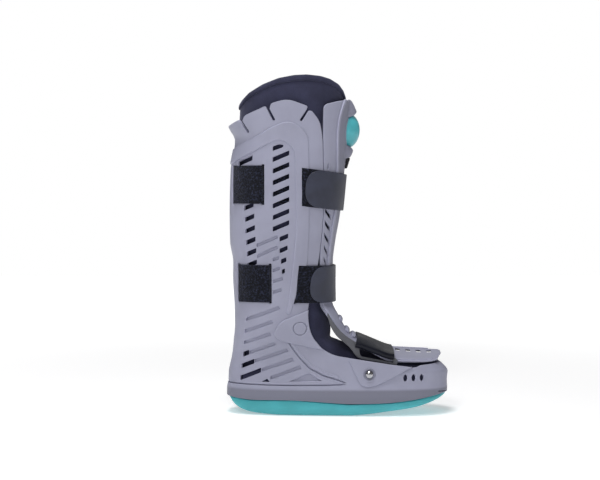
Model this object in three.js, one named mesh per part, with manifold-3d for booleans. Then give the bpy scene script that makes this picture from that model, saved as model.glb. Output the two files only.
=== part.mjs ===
// Tall walking boot: a hard rear shell on a rocker outsole, a padded liner, a front panel
// with a pump, two calf straps and a foot strap.
// Frame: millimetres, +Z up, +X to the toe, -Y the near side, the origin on the flat of the
// outsole under the leg.

import * as THREE from "three";
import { mergeVertices } from "three/addons/utils/BufferGeometryUtils.js";
import Module from "manifold-3d";

const wasm = await Module();
wasm.setup();

// Driving sizes of the whole boot
const soleLength = 286;
const soleWidth = 104;
const calfWidth = 114;
const footHeight = 80;
const legHeight = 320;
const linerRise = 33;

// Walls and clearances
const shellWall = 3.5;
const panelWall = 3;
const linerWall = 9;
const linerSole = 5;
const fitGap = 0.4;
const raisedDepth = 1.2;
const cornerRound = 10;

// Outsole
const soleEdge = 3;
const soleFlatRear = 26;
const soleFlatFront = 62;

// Shell openings
const slotHeight = 4.6;
const slotRise = 8.4;
const slotSpacing = 14.6;
const toeHoleWidth = 5;
const toeHoleHeight = 9;
const toeHoleSpacing = 10.6;
const petalSlit = 2.6;
const slitRun = 0.04;

// Straps
const strapWidth = 48;
const strapThickness = 2.2;
const tabThickness = 2;
const tabRoundShare = 0.42;
const strapSlotWidth = 3.4;
const footStrapWidth = 47;
const footStrapThickness = 3;
const rollRadius = 3.2;

// Pump and valve
const bulbHeight = 43;
const bulbWidth = 40;
const bulbProud = 15;
const housingDepth = 6;
const housingWidth = 46;
const valveHeight = 12;
const valveWidth = 11;
const valveProud = 6;
const valveStroke = 2.5;
const valveSeat = 1;
const valveSlope = 0.58;
const bulbSeat = 1;

// Front panel
const neckThickness = 3.2;
const plateRollDegrees = 6;
const plateHoleLength = 6;
const plateHoleWidth = 15;
const flangeThickness = 3;
const flangeBar = 7;

// Rivet
const rivetRadius = 5.2;
const rivetHeight = 3.4;

// Faceting
const roundSteps = 24;
const curveSteps = 2;

// Reach of a cutting box beyond what it cuts
const past = 60;

// Places: x as a share of the sole length, a level as 0 to 1 through the foot and 1 to 2
// through the leg, up to the tips of the petals.
const along = (share) => share * soleLength;
const up = (level) => (level < 1 ? level * footHeight : footHeight + (level - 1) * legHeight);

// Level of the floor inside the shell.
const shellFloorLevel = 0.36;

// Sections of the foot: ends as shares of the sole length, half widths at the heel and the
// ball as shares of the sole width.
const FOOT_SECTIONS = [
  { level: 0.1, rear: -0.328, toe: 0.66, heel: 0.4, ball: 0.49, power: 2.9 },
  { level: 0.3, rear: -0.333, toe: 0.67, heel: 0.41, ball: 0.5, power: 2.9 },
  { level: 0.47, rear: -0.331, toe: 0.669, heel: 0.41, ball: 0.5, power: 2.9 },
  { level: 0.5, rear: -0.326, toe: 0.667, heel: 0.395, ball: 0.485, power: 2.9 },
  { level: 0.68, rear: -0.324, toe: 0.672, heel: 0.39, ball: 0.48, power: 2.9 },
  { level: 0.77, rear: -0.319, toe: 0.652, heel: 0.39, ball: 0.475, power: 2.8 },
  { level: 0.84, rear: -0.314, toe: 0.63, heel: 0.39, ball: 0.47, power: 2.8 },
  { level: 0.98, rear: -0.307, toe: 0.6, heel: 0.395, ball: 0.46, power: 2.7 },
];

// Sections of the leg: ends as shares of the sole length, half width as a share of the calf.
const LEG_SECTIONS = [
  { level: 1.05, rear: -0.301, front: 0.2, half: 0.382, power: 2.4 },
  { level: 1.1, rear: -0.296, front: 0.165, half: 0.378, power: 2.3 },
  { level: 1.19, rear: -0.298, front: 0.147, half: 0.383, power: 2.3 },
  { level: 1.29, rear: -0.304, front: 0.145, half: 0.412, power: 2.3 },
  { level: 1.36, rear: -0.303, front: 0.145, half: 0.439, power: 2.3 },
  { level: 1.44, rear: -0.317, front: 0.155, half: 0.469, power: 2.3 },
  { level: 1.56, rear: -0.319, front: 0.178, half: 0.495, power: 2.3 },
  { level: 1.73, rear: -0.314, front: 0.197, half: 0.5, power: 2.3 },
  { level: 1.82, rear: -0.3, front: 0.208, half: 0.495, power: 2.3 },
  { level: 2.14, rear: -0.292, front: 0.236, half: 0.5, power: 2.3 },
];

// Sections of the flared petals, on the shell only.
const PETAL_SECTIONS = [
  { level: 1.82, rear: -0.298, front: 0.208, half: 0.495, power: 2.3 },
  { level: 1.85, rear: -0.294, front: 0.211, half: 0.495, power: 2.3 },
  { level: 1.9, rear: -0.322, front: 0.216, half: 0.515, power: 2.3 },
  { level: 2.02, rear: -0.372, front: 0.228, half: 0.545, power: 2.3 },
];

// Top of the liner's foot: its front end at each level, as shares of the sole length.
const LINER_FOOT = [
  { level: 0.7, toe: 0.645, heel: 0.345, ball: 0.43, power: 2.8 },
  { level: 0.78, toe: 0.63, heel: 0.34, ball: 0.37, power: 2.5 },
  { level: 0.83, toe: 0.6, heel: 0.335, ball: 0.33, power: 2.3 },
  { level: 0.89, toe: 0.49, heel: 0.33, ball: 0.32, power: 2.3 },
  { level: 0.96, toe: 0.36, heel: 0.325, ball: 0.34, power: 2.3 },
  { level: 1.01, toe: 0.25, heel: 0.325, ball: 0.34, power: 2.3 },
  { level: 1.035, toe: 0.195, heel: 0.33, ball: 0.34, power: 2.3 },
];

// Top edge of the shell, from the back over the petals and down the front edge to the toe.
// A row starts a slit between two petals where it has a slit column, which is the slit's foot.
const SHELL_EDGE = [
  { x: -0.4, level: 1.87 },
  { x: -0.326, level: 1.904, round: 0.2 },
  { x: -0.274, level: 1.926, round: 0.6 },
  { x: -0.26, level: 1.92, slit: { x: -0.228, level: 1.876 } },
  { x: -0.246, level: 1.942, round: 0.5 },
  { x: -0.152, level: 1.978, round: 0.4 },
  { x: -0.138, level: 1.965, slit: { x: -0.113, level: 1.922 } },
  { x: -0.128, level: 1.988, round: 0.6 },
  { x: -0.056, level: 2.006, round: 2.2 },
  { x: 0.034, level: 1.978, round: 0.8 },
  { x: 0.034, level: 1.962, slit: { x: 0.003, level: 1.92 } },
  { x: 0.052, level: 1.96, round: 0.6 },
  { x: 0.088, level: 1.92, round: 1.4 },
  { x: 0.1, level: 1.86, round: 2, panel: true },
  { x: 0.108, level: 1.58, round: 4, panel: true },
  { x: 0.085, level: 1.365, round: 2, panel: true },
  { x: 0.03, level: 1.16, round: 3 },
  { x: 0.05, level: 1.06, round: 3 },
  { x: 0.13, level: 0.98, round: 2 },
  { x: 0.43, level: 0.812, round: 2 },
  { x: 0.503, level: 0.778, round: 0.4 },
  { x: 0.52, level: 0.778, round: 0.3 },
  { x: 0.534, level: 0.806, round: 0.3 },
  { x: 0.62, level: 0.83 },
  { x: 0.72, level: 0.83 },
];

// Split line between shell and outsole, and the rocker under it.
const SPLIT_LINE = [
  { x: -0.42, level: 0.29 },
  { x: -0.32, level: 0.28 },
  { x: -0.23, level: 0.245 },
  { x: -0.03, level: 0.26 },
  { x: 0.22, level: 0.195 },
  { x: 0.4, level: 0.215 },
  { x: 0.52, level: 0.265 },
  { x: 0.64, level: 0.345 },
  { x: 0.74, level: 0.4 },
];
const ROCKER_HEEL = [
  { x: -0.15, level: 0.018 },
  { x: -0.225, level: 0.052 },
  { x: -0.27, level: 0.09 },
  { x: -0.298, level: 0.15 },
  { x: -0.31, level: 0.21 },
];
const ROCKER_TOE = [
  { x: 0.39, level: 0.065 },
  { x: 0.52, level: 0.125 },
  { x: 0.58, level: 0.18 },
  { x: 0.625, level: 0.24 },
  { x: 0.645, level: 0.3 },
];

// Slanted slots through the side: lower end, then length, as shares of the sole length. The
// front column counts down from its first slot, the rear column is open where no strap lies.
const FRONT_COLUMN = { x: -0.117, level: 1.815, length: 0.07, count: 12 };
const NARROWING = { from: 8, shorter: 0.2, behind: 0.7, lift: 0.14 };
const REAR_COLUMN = { x: -0.243, level: 1.579, length: 0.038, count: 6, ahead: 0.055 };
const HEEL_SLOTS = [
  { x: -0.27, level: 1.757, length: 0.062 },
  { x: -0.254, level: 0.965, length: 0.024 },
  { x: -0.261, level: 0.78, length: 0.055 },
  { x: -0.268, level: 0.585, length: 0.092 },
];

// Raised outlines on the side of the shell.
const ANKLE_PANEL = [
  { x: 0.2, level: 1.262 },
  { x: -0.098, level: 1.128, round: 1.2 },
  { x: -0.112, level: 1.07, round: 1.2 },
  { x: 0.14, level: 1.0 },
  { x: 0.2, level: 1.0 },
];
const STRAP_BOSS = [
  { x: 0.215, level: 0.94 },
  { x: 0.275, level: 0.46, round: 1 },
  { x: 0.34, level: 0.5, round: 0.8 },
  { x: 0.5, level: 0.775 },
  { x: 0.5, level: 1.0 },
  { x: 0.215, level: 1.0 },
];
const RIVET = { x: 0.308, level: 0.676 };
const TOE_HOLES = { x: 0.469, level: 0.612, count: 3 };

// Front panel: rear edge of the shin part, and the rows of the neck and forefoot plate along
// the boot's middle, with crown and half width as shares of the sole width.
const PANEL_TOP = [
  { x: 0.3, level: 2.014 },
  { x: 0.226, level: 2.012 },
  { x: 0.15, level: 1.996, round: 1.2 },
  { x: 0.106, level: 1.985, round: 1.8 },
];
const NECK_ROWS = [
  { x: 0.138, level: 1.255, half: 0.28, crown: 0.125 },
  { x: 0.144, level: 1.205, half: 0.29, crown: 0.14 },
  { x: 0.155, level: 1.176, half: 0.31, crown: 0.115 },
  { x: 0.172, level: 1.148, half: 0.33, crown: 0.1 },
  { x: 0.19, level: 1.118, half: 0.34, crown: 0.1 },
  { x: 0.21, level: 1.088, half: 0.345, crown: 0.09 },
  { x: 0.24, level: 1.064, half: 0.35, crown: 0.085 },
  { x: 0.275, level: 1.053, half: 0.35, crown: 0.08 },
  { x: 0.34, level: 1.028, half: 0.35, crown: 0.07 },
  { x: 0.4, level: 1.005, half: 0.35, crown: 0.06 },
  { x: 0.425, level: 0.998, half: 0.35, crown: 0.05 },
  { x: 0.48, level: 0.975, half: 0.345, crown: 0.035 },
  { x: 0.53, level: 0.96, half: 0.33, crown: 0.025 },
  { x: 0.58, level: 0.955, half: 0.3, crown: 0.02 },
  { x: 0.612, level: 0.965, half: 0.25, crown: 0.02 },
  { x: 0.635, level: 0.985, half: 0.17, crown: 0.015 },
];
const neckHalfShare = 0.35;
const PLATE_ROLL = { from: 0.3, full: 0.42 };
const FOOT_STRAP_MIDDLE = 0.3385;
const PLATE_HOLES = { x: 0.447, pitch: 0.0475, count: 4 };

// Side flange under the neck: its outer edge from the shin down to the rounded front end, and
// back along its inner edge. Where it lies beside the foot strap, its corners keep their place
// past the strap's start or end, in widths of the flange's bar.
const FLANGE = [
  { x: 0.13, level: 1.16 },
  { x: 0.14, level: 1.135, round: 1 },
  { x: 0.185, level: 1.082, round: 1 },
  { beside: "start", past: -0.46, level: 1.045, round: 0.8 },
  { beside: "end", past: 0.71, level: 0.9, round: 0.8 },
  { beside: "end", past: 0.5, level: 0.8, round: 0.8 },
  { beside: "start", past: -0.06, level: 0.915, round: 0.8 },
  { beside: "start", past: -1.29, level: 1.022, round: 0.8 },
  { x: 0.16, level: 1.068, round: 1.2 },
  { x: 0.135, level: 1.106, round: 0.8 },
  { x: 0.12, level: 1.15 },
];

// Open cradle in the flange, from the corners around the strap, in widths of the flange's bar.
const CRADLE = [
  { corner: 6, ahead: 1, rise: 0.45, round: 0.2 },
  { corner: 5, ahead: -0.6, rise: 0.7, round: 0.2 },
  { corner: 4, ahead: -0.5, rise: 2 },
  { corner: 3, ahead: 0.7, rise: 2 },
];

// Calf straps: level of the middle, the x of the three slots that each passes on a side, where
// its tab ends, and how far it falls toward the front for each millimetre.
const STRAPS = [
  { name: "upper", level: 1.671, rear: -0.292, middle: -0.16, front: 0.004, tab: 0.024, fall: 0.13 },
  { name: "lower", level: 1.279, rear: -0.274, middle: -0.132, front: -0.01, tab: 0.042, fall: 0.03 },
];

// Top edge of the liner, seen from the side.
const LINER_TOP = [
  { x: -0.4, rise: -1.3 },
  { x: -0.276, rise: -1.15 },
  { x: -0.26, rise: -0.92, round: 0.8 },
  { x: -0.2, rise: -0.5, round: 3 },
  { x: 0.02, rise: 0.02, round: 6 },
  { x: 0.17, rise: -0.16, round: 2.4 },
  { x: 0.208, rise: -0.55, round: 1.4 },
  { x: 0.22, rise: -1.1 },
  { x: 0.4, rise: -1.3 },
];

// Joining and cutting
function solidOf(geometry) {
  const bare = geometry.clone();
  bare.deleteAttribute("normal");
  bare.deleteAttribute("uv");
  const merged = mergeVertices(bare, 1e-3);
  const mesh = new wasm.Mesh({
    numProp: 3,
    vertProperties: new Float32Array(merged.attributes.position.array),
    triVerts: new Uint32Array(merged.index.array),
  });
  return new wasm.Manifold(mesh);
}

function meshOf(name, solid, colour, roughness, metalness = 0) {
  const cut = solid.getMesh();
  const geometry = new THREE.BufferGeometry();
  geometry.setAttribute("position", new THREE.BufferAttribute(new Float32Array(cut.vertProperties), 3));
  geometry.setIndex(new THREE.BufferAttribute(new Uint32Array(cut.triVerts), 1));
  geometry.computeVertexNormals();
  const material = new THREE.MeshStandardMaterial({ color: colour, roughness, metalness });
  const mesh = new THREE.Mesh(geometry, material);
  mesh.name = name;
  return mesh;
}

// Sections
function footSection(row) {
  return {
    z: up(row.level),
    rear: along(row.rear),
    front: along(row.toe),
    heel: row.heel * soleWidth,
    ball: row.ball * soleWidth,
    power: row.power,
  };
}

function legSection(row) {
  return {
    z: up(row.level),
    rear: along(row.rear),
    front: along(row.front),
    heel: row.half * calfWidth,
    ball: row.half * calfWidth,
    power: row.power,
  };
}

const footSections = FOOT_SECTIONS.map(footSection);
const legSections = LEG_SECTIONS.map(legSection);
const bootSections = [...footSections, ...legSections];
const shellSections = [
  ...bootSections.filter((row) => row.z < up(PETAL_SECTIONS[0].level) - 1),
  ...PETAL_SECTIONS.map(legSection),
];

function sectionAt(sections, z) {
  const last = sections.length - 1;
  let k = 0;
  while (k < last - 1 && sections[k + 1].z < z) {
    k += 1;
  }
  const a = sections[k];
  const b = sections[k + 1];
  const t = THREE.MathUtils.clamp((z - a.z) / (b.z - a.z), 0, 1);
  const mixed = { z };
  for (const key of ["rear", "front", "heel", "ball", "power"]) {
    mixed[key] = THREE.MathUtils.lerp(a[key], b[key], t);
  }
  return mixed;
}

function legMiddle(z) {
  const section = sectionAt(bootSections, z);
  return (section.rear + section.front) / 2;
}

function halfWidthAt(section, x, outward) {
  const share = THREE.MathUtils.clamp((x - section.rear) / (section.front - section.rear), 0, 1);
  return THREE.MathUtils.lerp(section.heel, section.ball, share) + outward;
}

function roundPoint(section, angle, outward) {
  const reach = (section.front - section.rear) / 2 + outward;
  const middle = (section.front + section.rear) / 2;
  const bend = 2 / section.power;
  const c = Math.cos(angle);
  const s = Math.sin(angle);
  const x = middle + reach * Math.sign(c) * Math.abs(c) ** bend;
  const y = halfWidthAt(section, x, outward) * Math.sign(s) * Math.abs(s) ** bend;
  return [x, Math.abs(s) < 1e-9 ? 0 : y];
}

// Closed body through horizontal sections, each moved outward by the same amount.
function loft(sections, levels, outward, fall = 0) {
  const steps = levels.length - 1;
  const geometry = new THREE.CylinderGeometry(1, 1, 1, roundSteps, steps, false);
  const place = geometry.attributes.position;
  for (let i = 0; i < place.count; i += 1) {
    const k = Math.round((place.getY(i) + 0.5) * steps);
    const section = sectionAt(sections, levels[k]);
    const centred = Math.hypot(place.getX(i), place.getZ(i)) < 0.5;
    const angle = Math.atan2(-place.getZ(i), place.getX(i));
    const middle = (section.front + section.rear) / 2;
    const ahead = Math.max(0, roundPoint(section, angle, outward)[0] - middle);
    const z = levels[k] - (centred ? 0 : fall * ahead);
    const [x, y] = roundPoint(sectionAt(sections, z), angle, outward);
    place.setXYZ(i, centred ? middle : x, centred ? 0 : y, z);
  }
  return solidOf(geometry);
}

function levelsBetween(sections, low, high) {
  const inner = sections.map((row) => row.z).filter((z) => z > low + 1 && z < high - 1);
  return [low, ...inner, high];
}

function surfaceY(sections, x, z, outward) {
  const section = sectionAt(sections, z);
  const reach = (section.front - section.rear) / 2 + outward;
  const middle = (section.front + section.rear) / 2;
  const side = Math.min(Math.abs(x - middle) / reach, 1);
  return halfWidthAt(section, x, outward) * (1 - side ** section.power) ** (1 / section.power);
}

// Side outlines, drawn in x and z and swept across the boot
function placed(row) {
  return { x: along(row.x), z: up(row.level), round: (row.round ?? 0) * cornerRound };
}

function outlineShape(corners) {
  const shape = new THREE.Shape();
  const count = corners.length;
  corners.forEach((corner, k) => {
    const here = new THREE.Vector2(corner.x, corner.z);
    const before = corners[(k + count - 1) % count];
    const after = corners[(k + 1) % count];
    const back = new THREE.Vector2(before.x, before.z).sub(here);
    const ahead = new THREE.Vector2(after.x, after.z).sub(here);
    const cut = Math.min(corner.round ?? 0, back.length() * 0.48, ahead.length() * 0.48);
    const start = here.clone().add(back.setLength(cut));
    const end = here.clone().add(ahead.setLength(cut));
    if (k === 0) {
      shape.moveTo(start.x, start.y);
    } else {
      shape.lineTo(start.x, start.y);
    }
    if (cut > 0) {
      shape.quadraticCurveTo(here.x, here.y, end.x, end.y);
    }
  });
  shape.closePath();
  return shape;
}

function across(corners, nearY, farY) {
  const geometry = new THREE.ExtrudeGeometry(outlineShape(corners), {
    depth: farY - nearY,
    bevelEnabled: false,
    curveSegments: curveSteps,
  });
  geometry.rotateX(Math.PI / 2);
  geometry.translate(0, farY, 0);
  return solidOf(geometry);
}

function through(corners) {
  return across(corners, -soleWidth, soleWidth);
}

function box(x0, x1, y0, y1, z0, z1) {
  const geometry = new THREE.BoxGeometry(x1 - x0, y1 - y0, z1 - z0);
  geometry.translate((x0 + x1) / 2, (y0 + y1) / 2, (z0 + z1) / 2);
  return solidOf(geometry);
}

// Plate that follows a row of places along the middle, crowned across and rolled to one side.
function bentPlate(rows, thickness, acrossSteps) {
  const geometry = new THREE.BoxGeometry(1, 1, 1, rows.length - 1, acrossSteps, 1);
  const place = geometry.attributes.position;
  const last = rows.length - 1;
  for (let i = 0; i < place.count; i += 1) {
    const k = Math.round((place.getX(i) + 0.5) * last);
    const row = rows[k];
    const a = rows[Math.max(k - 1, 0)];
    const b = rows[Math.min(k + 1, last)];
    const run = new THREE.Vector2(b.x - a.x, b.z - a.z).normalize();
    const y = place.getY(i) * 2 * row.half;
    const depth = (place.getZ(i) - 0.5) * thickness - row.crown * (y / row.half) ** 2;
    const lift = y * Math.tan(THREE.MathUtils.degToRad(row.roll));
    place.setXYZ(i, row.x - run.y * depth, y, row.z + run.x * depth + lift);
  }
  return solidOf(geometry);
}

// Rocker outsole
function outsole() {
  const levels = levelsBetween(footSections, -1, up(0.5));
  const block = loft(bootSections, levels, -soleEdge);
  const split = SPLIT_LINE.map(placed).map((row) => ({ x: row.x, z: row.z - fitGap }));
  const heel = ROCKER_HEEL.map(placed);
  const toe = ROCKER_TOE.map(placed);
  const profile = [
    { x: -soleFlatRear, z: 0 },
    ...heel,
    { x: split[0].x, z: heel[heel.length - 1].z },
    ...split,
    { x: split[split.length - 1].x, z: toe[toe.length - 1].z },
    ...toe.reverse(),
    { x: soleFlatFront, z: 0 },
  ];
  return meshOf("outsole", block.intersect(through(profile.reverse())), 0x4ba5aa, 0.55);
}

// Rear shell
function shellSide() {
  const bottom = SPLIT_LINE.map(placed).reverse();
  return [...bottom, ...SHELL_EDGE.map(placed)].reverse();
}

function petalSlits() {
  return SHELL_EDGE.filter((row) => row.slit).map((row) => {
    const top = placed(row);
    const foot = placed(row.slit);
    const run = new THREE.Vector2(foot.x - top.x, foot.z - top.z).normalize();
    const side = new THREE.Vector2(-run.y, run.x).multiplyScalar(petalSlit / 2);
    const open = new THREE.Vector2(top.x, top.z).addScaledVector(run, -slitRun * legHeight);
    return through([
      { x: open.x + side.x, z: open.y + side.y },
      { x: open.x - side.x, z: open.y - side.y },
      { x: foot.x - side.x, z: foot.z - side.y, round: petalSlit / 2 },
      { x: foot.x + side.x, z: foot.z + side.y, round: petalSlit / 2 },
    ].reverse());
  });
}

function slantedSlot(x, z, length) {
  const rise = (slotRise * length) / along(FRONT_COLUMN.length);
  return through([
    { x, z: z - slotHeight / 2 },
    { x: x + length, z: z + rise - slotHeight / 2 },
    { x: x + length, z: z + rise + slotHeight / 2 },
    { x, z: z + slotHeight / 2 },
  ]);
}

function sideSlots() {
  const slots = HEEL_SLOTS.map((row) => slantedSlot(along(row.x), up(row.level), along(row.length)));
  for (let k = 0; k < FRONT_COLUMN.count; k += 1) {
    const steps = Math.max(0, k - NARROWING.from + 1);
    const z = up(FRONT_COLUMN.level) - k * slotSpacing + steps * slotRise * NARROWING.lift;
    const full = along(FRONT_COLUMN.length);
    const length = full * (1 - steps * NARROWING.shorter);
    slots.push(slantedSlot(along(FRONT_COLUMN.x) + (full - length) * NARROWING.behind, z, length));
  }
  for (let k = 0; k < REAR_COLUMN.count; k += 1) {
    const z = up(REAR_COLUMN.level) - k * slotSpacing;
    const x = along(REAR_COLUMN.x) + k * slotSpacing * REAR_COLUMN.ahead;
    slots.push(slantedSlot(x, z, along(REAR_COLUMN.length)));
  }
  return slots;
}

function strapSlots() {
  const slots = [];
  for (const strap of STRAPS) {
    for (const key of ["rear", "middle", "front"]) {
      const x = along(strap[key]);
      const high = up(strap.level) + strapWidth / 2 + 2 * fitGap;
      const fall = strap.fall * Math.max(0, x - legMiddle(high));
      const low = high - strapWidth - 4 * fitGap - fall;
      const half = strapSlotWidth / 2;
      slots.push(box(x - half, x + half, -soleWidth, soleWidth, low, high));
    }
  }
  return slots;
}

function toeHoles() {
  const holes = [];
  for (let k = 0; k < TOE_HOLES.count; k += 1) {
    const geometry = new THREE.CylinderGeometry(toeHoleWidth / 2, toeHoleWidth / 2, 2 * soleWidth, 8);
    geometry.scale(1, 1, toeHoleHeight / toeHoleWidth);
    geometry.translate(along(TOE_HOLES.x) + k * toeHoleSpacing, 0, up(TOE_HOLES.level));
    holes.push(solidOf(geometry));
  }
  return holes;
}

function raised(corners, depth) {
  const rows = corners.map(placed);
  const low = Math.min(...rows.map((row) => row.z)) - 1;
  const high = Math.max(...rows.map((row) => row.z)) + 1;
  const outer = loft(shellSections, levelsBetween(shellSections, low, high), depth);
  const inner = loft(shellSections, levelsBetween(shellSections, low - 1, high + 1), -shellWall / 2);
  return outer.subtract(inner).intersect(through(rows));
}

function rearShell() {
  const bottom = up(SPLIT_LINE[4].level) - 2;
  const top = up(PETAL_SECTIONS[PETAL_SECTIONS.length - 1].level);
  const floor = up(shellFloorLevel);
  const outer = loft(shellSections, levelsBetween(shellSections, bottom, top), 0);
  const hollow = loft(shellSections, levelsBetween(shellSections, floor, top + 1), -shellWall);
  let shell = outer.add(raised(ANKLE_PANEL, raisedDepth)).add(raised(STRAP_BOSS, raisedDepth));
  shell = shell.subtract(hollow).intersect(through(shellSide()));
  for (const cut of [...petalSlits(), ...sideSlots(), ...strapSlots(), ...toeHoles()]) {
    shell = shell.subtract(cut);
  }
  return meshOf("rear_shell", shell, 0x9d9eb2, 0.5);
}

// Padded liner
const linerInset = shellWall + fitGap + strapThickness + fitGap;

function linerSections(inset) {
  const foot = footSections.filter((row) => row.z > up(0.4) && row.z < up(LINER_FOOT[0].level));
  const base = [sectionAt(bootSections, up(shellFloorLevel) + fitGap), ...foot].map((row) => ({
    ...row,
    rear: row.rear + shellWall + fitGap + inset,
    front: row.front - shellWall - fitGap - inset,
    heel: row.heel - shellWall - fitGap - inset,
    ball: row.ball - shellWall - fitGap - inset,
  }));
  const upper = LINER_FOOT.map(footSection).map((row) => ({
    ...row,
    rear: sectionAt(bootSections, row.z).rear + linerInset + inset,
    front: row.front - inset,
    heel: row.heel - inset,
    ball: row.ball - inset,
  }));
  const leg = legSections.map((row) => ({
    ...row,
    rear: row.rear + linerInset + inset,
    front: row.front - linerInset - inset,
    heel: row.heel - linerInset - inset,
    ball: row.ball - linerInset - inset,
  }));
  return [...base, ...upper, ...leg];
}

function liner() {
  const outerRows = linerSections(0);
  const innerRows = linerSections(linerWall);
  const bottom = up(shellFloorLevel) + fitGap;
  const top = up(2) + linerRise + 2;
  const outer = loft(outerRows, levelsBetween(outerRows, bottom, top), 0);
  const innerLevels = levelsBetween(innerRows, bottom + linerSole, top + 2);
  const hollow = loft(lowered(innerRows), innerLevels, 0);
  const corners = LINER_TOP.map((row) => ({
    x: along(row.x),
    z: up(2) + linerRise * (1 + row.rise),
    round: (row.round ?? 0) * cornerRound,
  }));
  const [back, ahead] = [along(-0.4), along(0.72)];
  const below = [{ x: ahead, z: up(2) }, { x: ahead, z: 0 }, { x: back, z: 0 }];
  const keep = through([...below, ...corners].reverse());
  return meshOf("liner", outer.subtract(hollow).intersect(keep), 0x3c3c58, 0.9);
}

// The hollow's roof over the foot lies one wall below the liner's outer top.
function lowered(rows) {
  const topOfFoot = up(1.19);
  return rows.map((row) => {
    const share = THREE.MathUtils.clamp((topOfFoot - row.z) / (topOfFoot - up(0.5)), 0, 1);
    return { ...row, z: row.z - linerWall * 0.8 * Math.min(1, share * 2) };
  });
}

// Front panel, with the pump's housing
function shinPanel() {
  const low = up(1.2);
  const high = up(2.02);
  const outer = loft(bootSections, levelsBetween(bootSections, low, high), 0);
  const inner = loft(bootSections, levelsBetween(bootSections, low - 1, high + 1), -panelWall);
  const rear = SHELL_EDGE.filter((row) => row.panel).map(placed);
  const edge = rear.reverse().map((row) => ({ ...row, x: row.x + 2 * fitGap }));
  const corners = [
    { x: along(0.3), z: low },
    { x: along(0.115), z: low },
    ...edge,
    ...PANEL_TOP.map(placed).reverse(),
  ];
  return outer.subtract(inner).intersect(through(corners.reverse()));
}

const pump = { level: 1.895, lean: 4 };
const valveLevel = up(1.762);

// Housing around the bulb: corners above and below it, out from the panel's face and beyond
// the bulb's end, in depths of the housing.
const HOUSING = [
  { end: 1, beyond: 2.67, out: -0.5 },
  { end: 1, beyond: 2.33, out: 1, round: 0.5 },
  { end: 1, beyond: 0.33, out: 1.9, round: 0.4 },
  { end: 1, beyond: 0, out: 1, round: 0.3 },
  { end: 1, beyond: -0.67, out: -0.5, round: 0.8 },
  { end: -1, beyond: -0.67, out: -0.5, round: 0.8 },
  { end: -1, beyond: 0.33, out: 1, round: 0.3 },
  { end: -1, beyond: 2, out: 0.9, round: 0.5 },
  { end: -1, beyond: 4.33, out: 0, flush: true },
  { end: -1, beyond: 4.33, out: -0.5, flush: true },
];

function frontAt(z, outward) {
  return sectionAt(bootSections, z).front + outward;
}

function housing() {
  const middle = up(pump.level);
  const corners = HOUSING.map((row) => {
    const z = middle + row.end * (bulbHeight / 2 + row.beyond * housingDepth);
    const face = row.flush ? frontAt(z, 0) : frontAt(middle, 0);
    return { x: face + row.out * housingDepth, z, round: (row.round ?? 0) * cornerRound };
  });
  const block = across(corners.reverse(), -housingWidth / 2, housingWidth / 2);
  const inside = levelsBetween(bootSections, up(1.6), up(2.1));
  return block.subtract(loft(bootSections, inside, -panelWall / 2));
}

function neckRows() {
  return NECK_ROWS.map((row) => ({
    x: along(row.x),
    z: up(row.level),
    half: row.half * soleWidth,
    crown: row.crown * soleWidth,
    roll: plateRollDegrees * THREE.MathUtils.smoothstep(row.x, PLATE_ROLL.from, PLATE_ROLL.full),
  }));
}

function plateHoles() {
  const holes = [];
  for (let k = 0; k < PLATE_HOLES.count; k += 1) {
    const x = along(PLATE_HOLES.x + k * PLATE_HOLES.pitch);
    const half = plateHoleLength / 2;
    holes.push(box(x - half, x + half, 1, 1 + plateHoleWidth, up(0.8), up(1.1)));
  }
  return holes;
}

function pumpSeat(clear) {
  const geometry = new THREE.SphereGeometry(1, 16, 10);
  geometry.scale(bulbProud + clear, bulbWidth / 2 + clear, bulbHeight / 2 + clear);
  geometry.rotateY(THREE.MathUtils.degToRad(pump.lean));
  geometry.translate(frontAt(up(pump.level), bulbSeat), 0, up(pump.level));
  return solidOf(geometry);
}

function valveSocket(clear) {
  const x = frontAt(valveLevel, 0);
  const half = valveWidth / 2 + clear;
  const high = valveHeight / 2 + clear;
  const back = x - valveSeat - valveStroke - clear;
  return box(back, x + valveProud, -half, half, valveLevel - high, valveLevel + high);
}

function frontPanel() {
  let panel = shinPanel().add(housing()).add(bentPlate(neckRows(), neckThickness, 8));
  for (const cut of plateHoles()) {
    panel = panel.subtract(cut);
  }
  panel = panel.subtract(pumpSeat(fitGap)).subtract(valveSocket(fitGap));
  return meshOf("front_panel", panel, 0x9596aa, 0.5);
}

function pumpBulb() {
  const x = frontAt(up(pump.level), 0);
  const behind = box(x - past, x, -past, past, 0, up(2.2));
  return meshOf("pump_bulb", pumpSeat(0).subtract(behind), 0x4aa5a8, 0.4);
}

function valveButton() {
  const x = frontAt(valveLevel, 0);
  const half = valveWidth / 2;
  const corners = [
    { x: x - valveSeat, z: valveLevel - valveHeight / 2 },
    { x: x + valveProud * valveSlope, z: valveLevel - valveHeight / 2, round: cornerRound / 10 },
    { x: x + valveProud, z: valveLevel + valveHeight / 2, round: cornerRound / 5 },
    { x: x - valveSeat, z: valveLevel + valveHeight / 2 },
  ];
  return meshOf("valve_button", across(corners, -half, half), 0x17171d, 0.45);
}

// Side flanges that hold the foot strap, each a cradle under the strap's roll
function flangeCorner(row) {
  if (!row.beside) {
    return placed(row);
  }
  const reach = row.beside === "start" ? -footStrapWidth / 2 : footStrapWidth / 2;
  const x = along(FOOT_STRAP_MIDDLE) + reach + row.past * flangeBar;
  return { ...placed({ ...row, x: 0 }), x };
}

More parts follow.
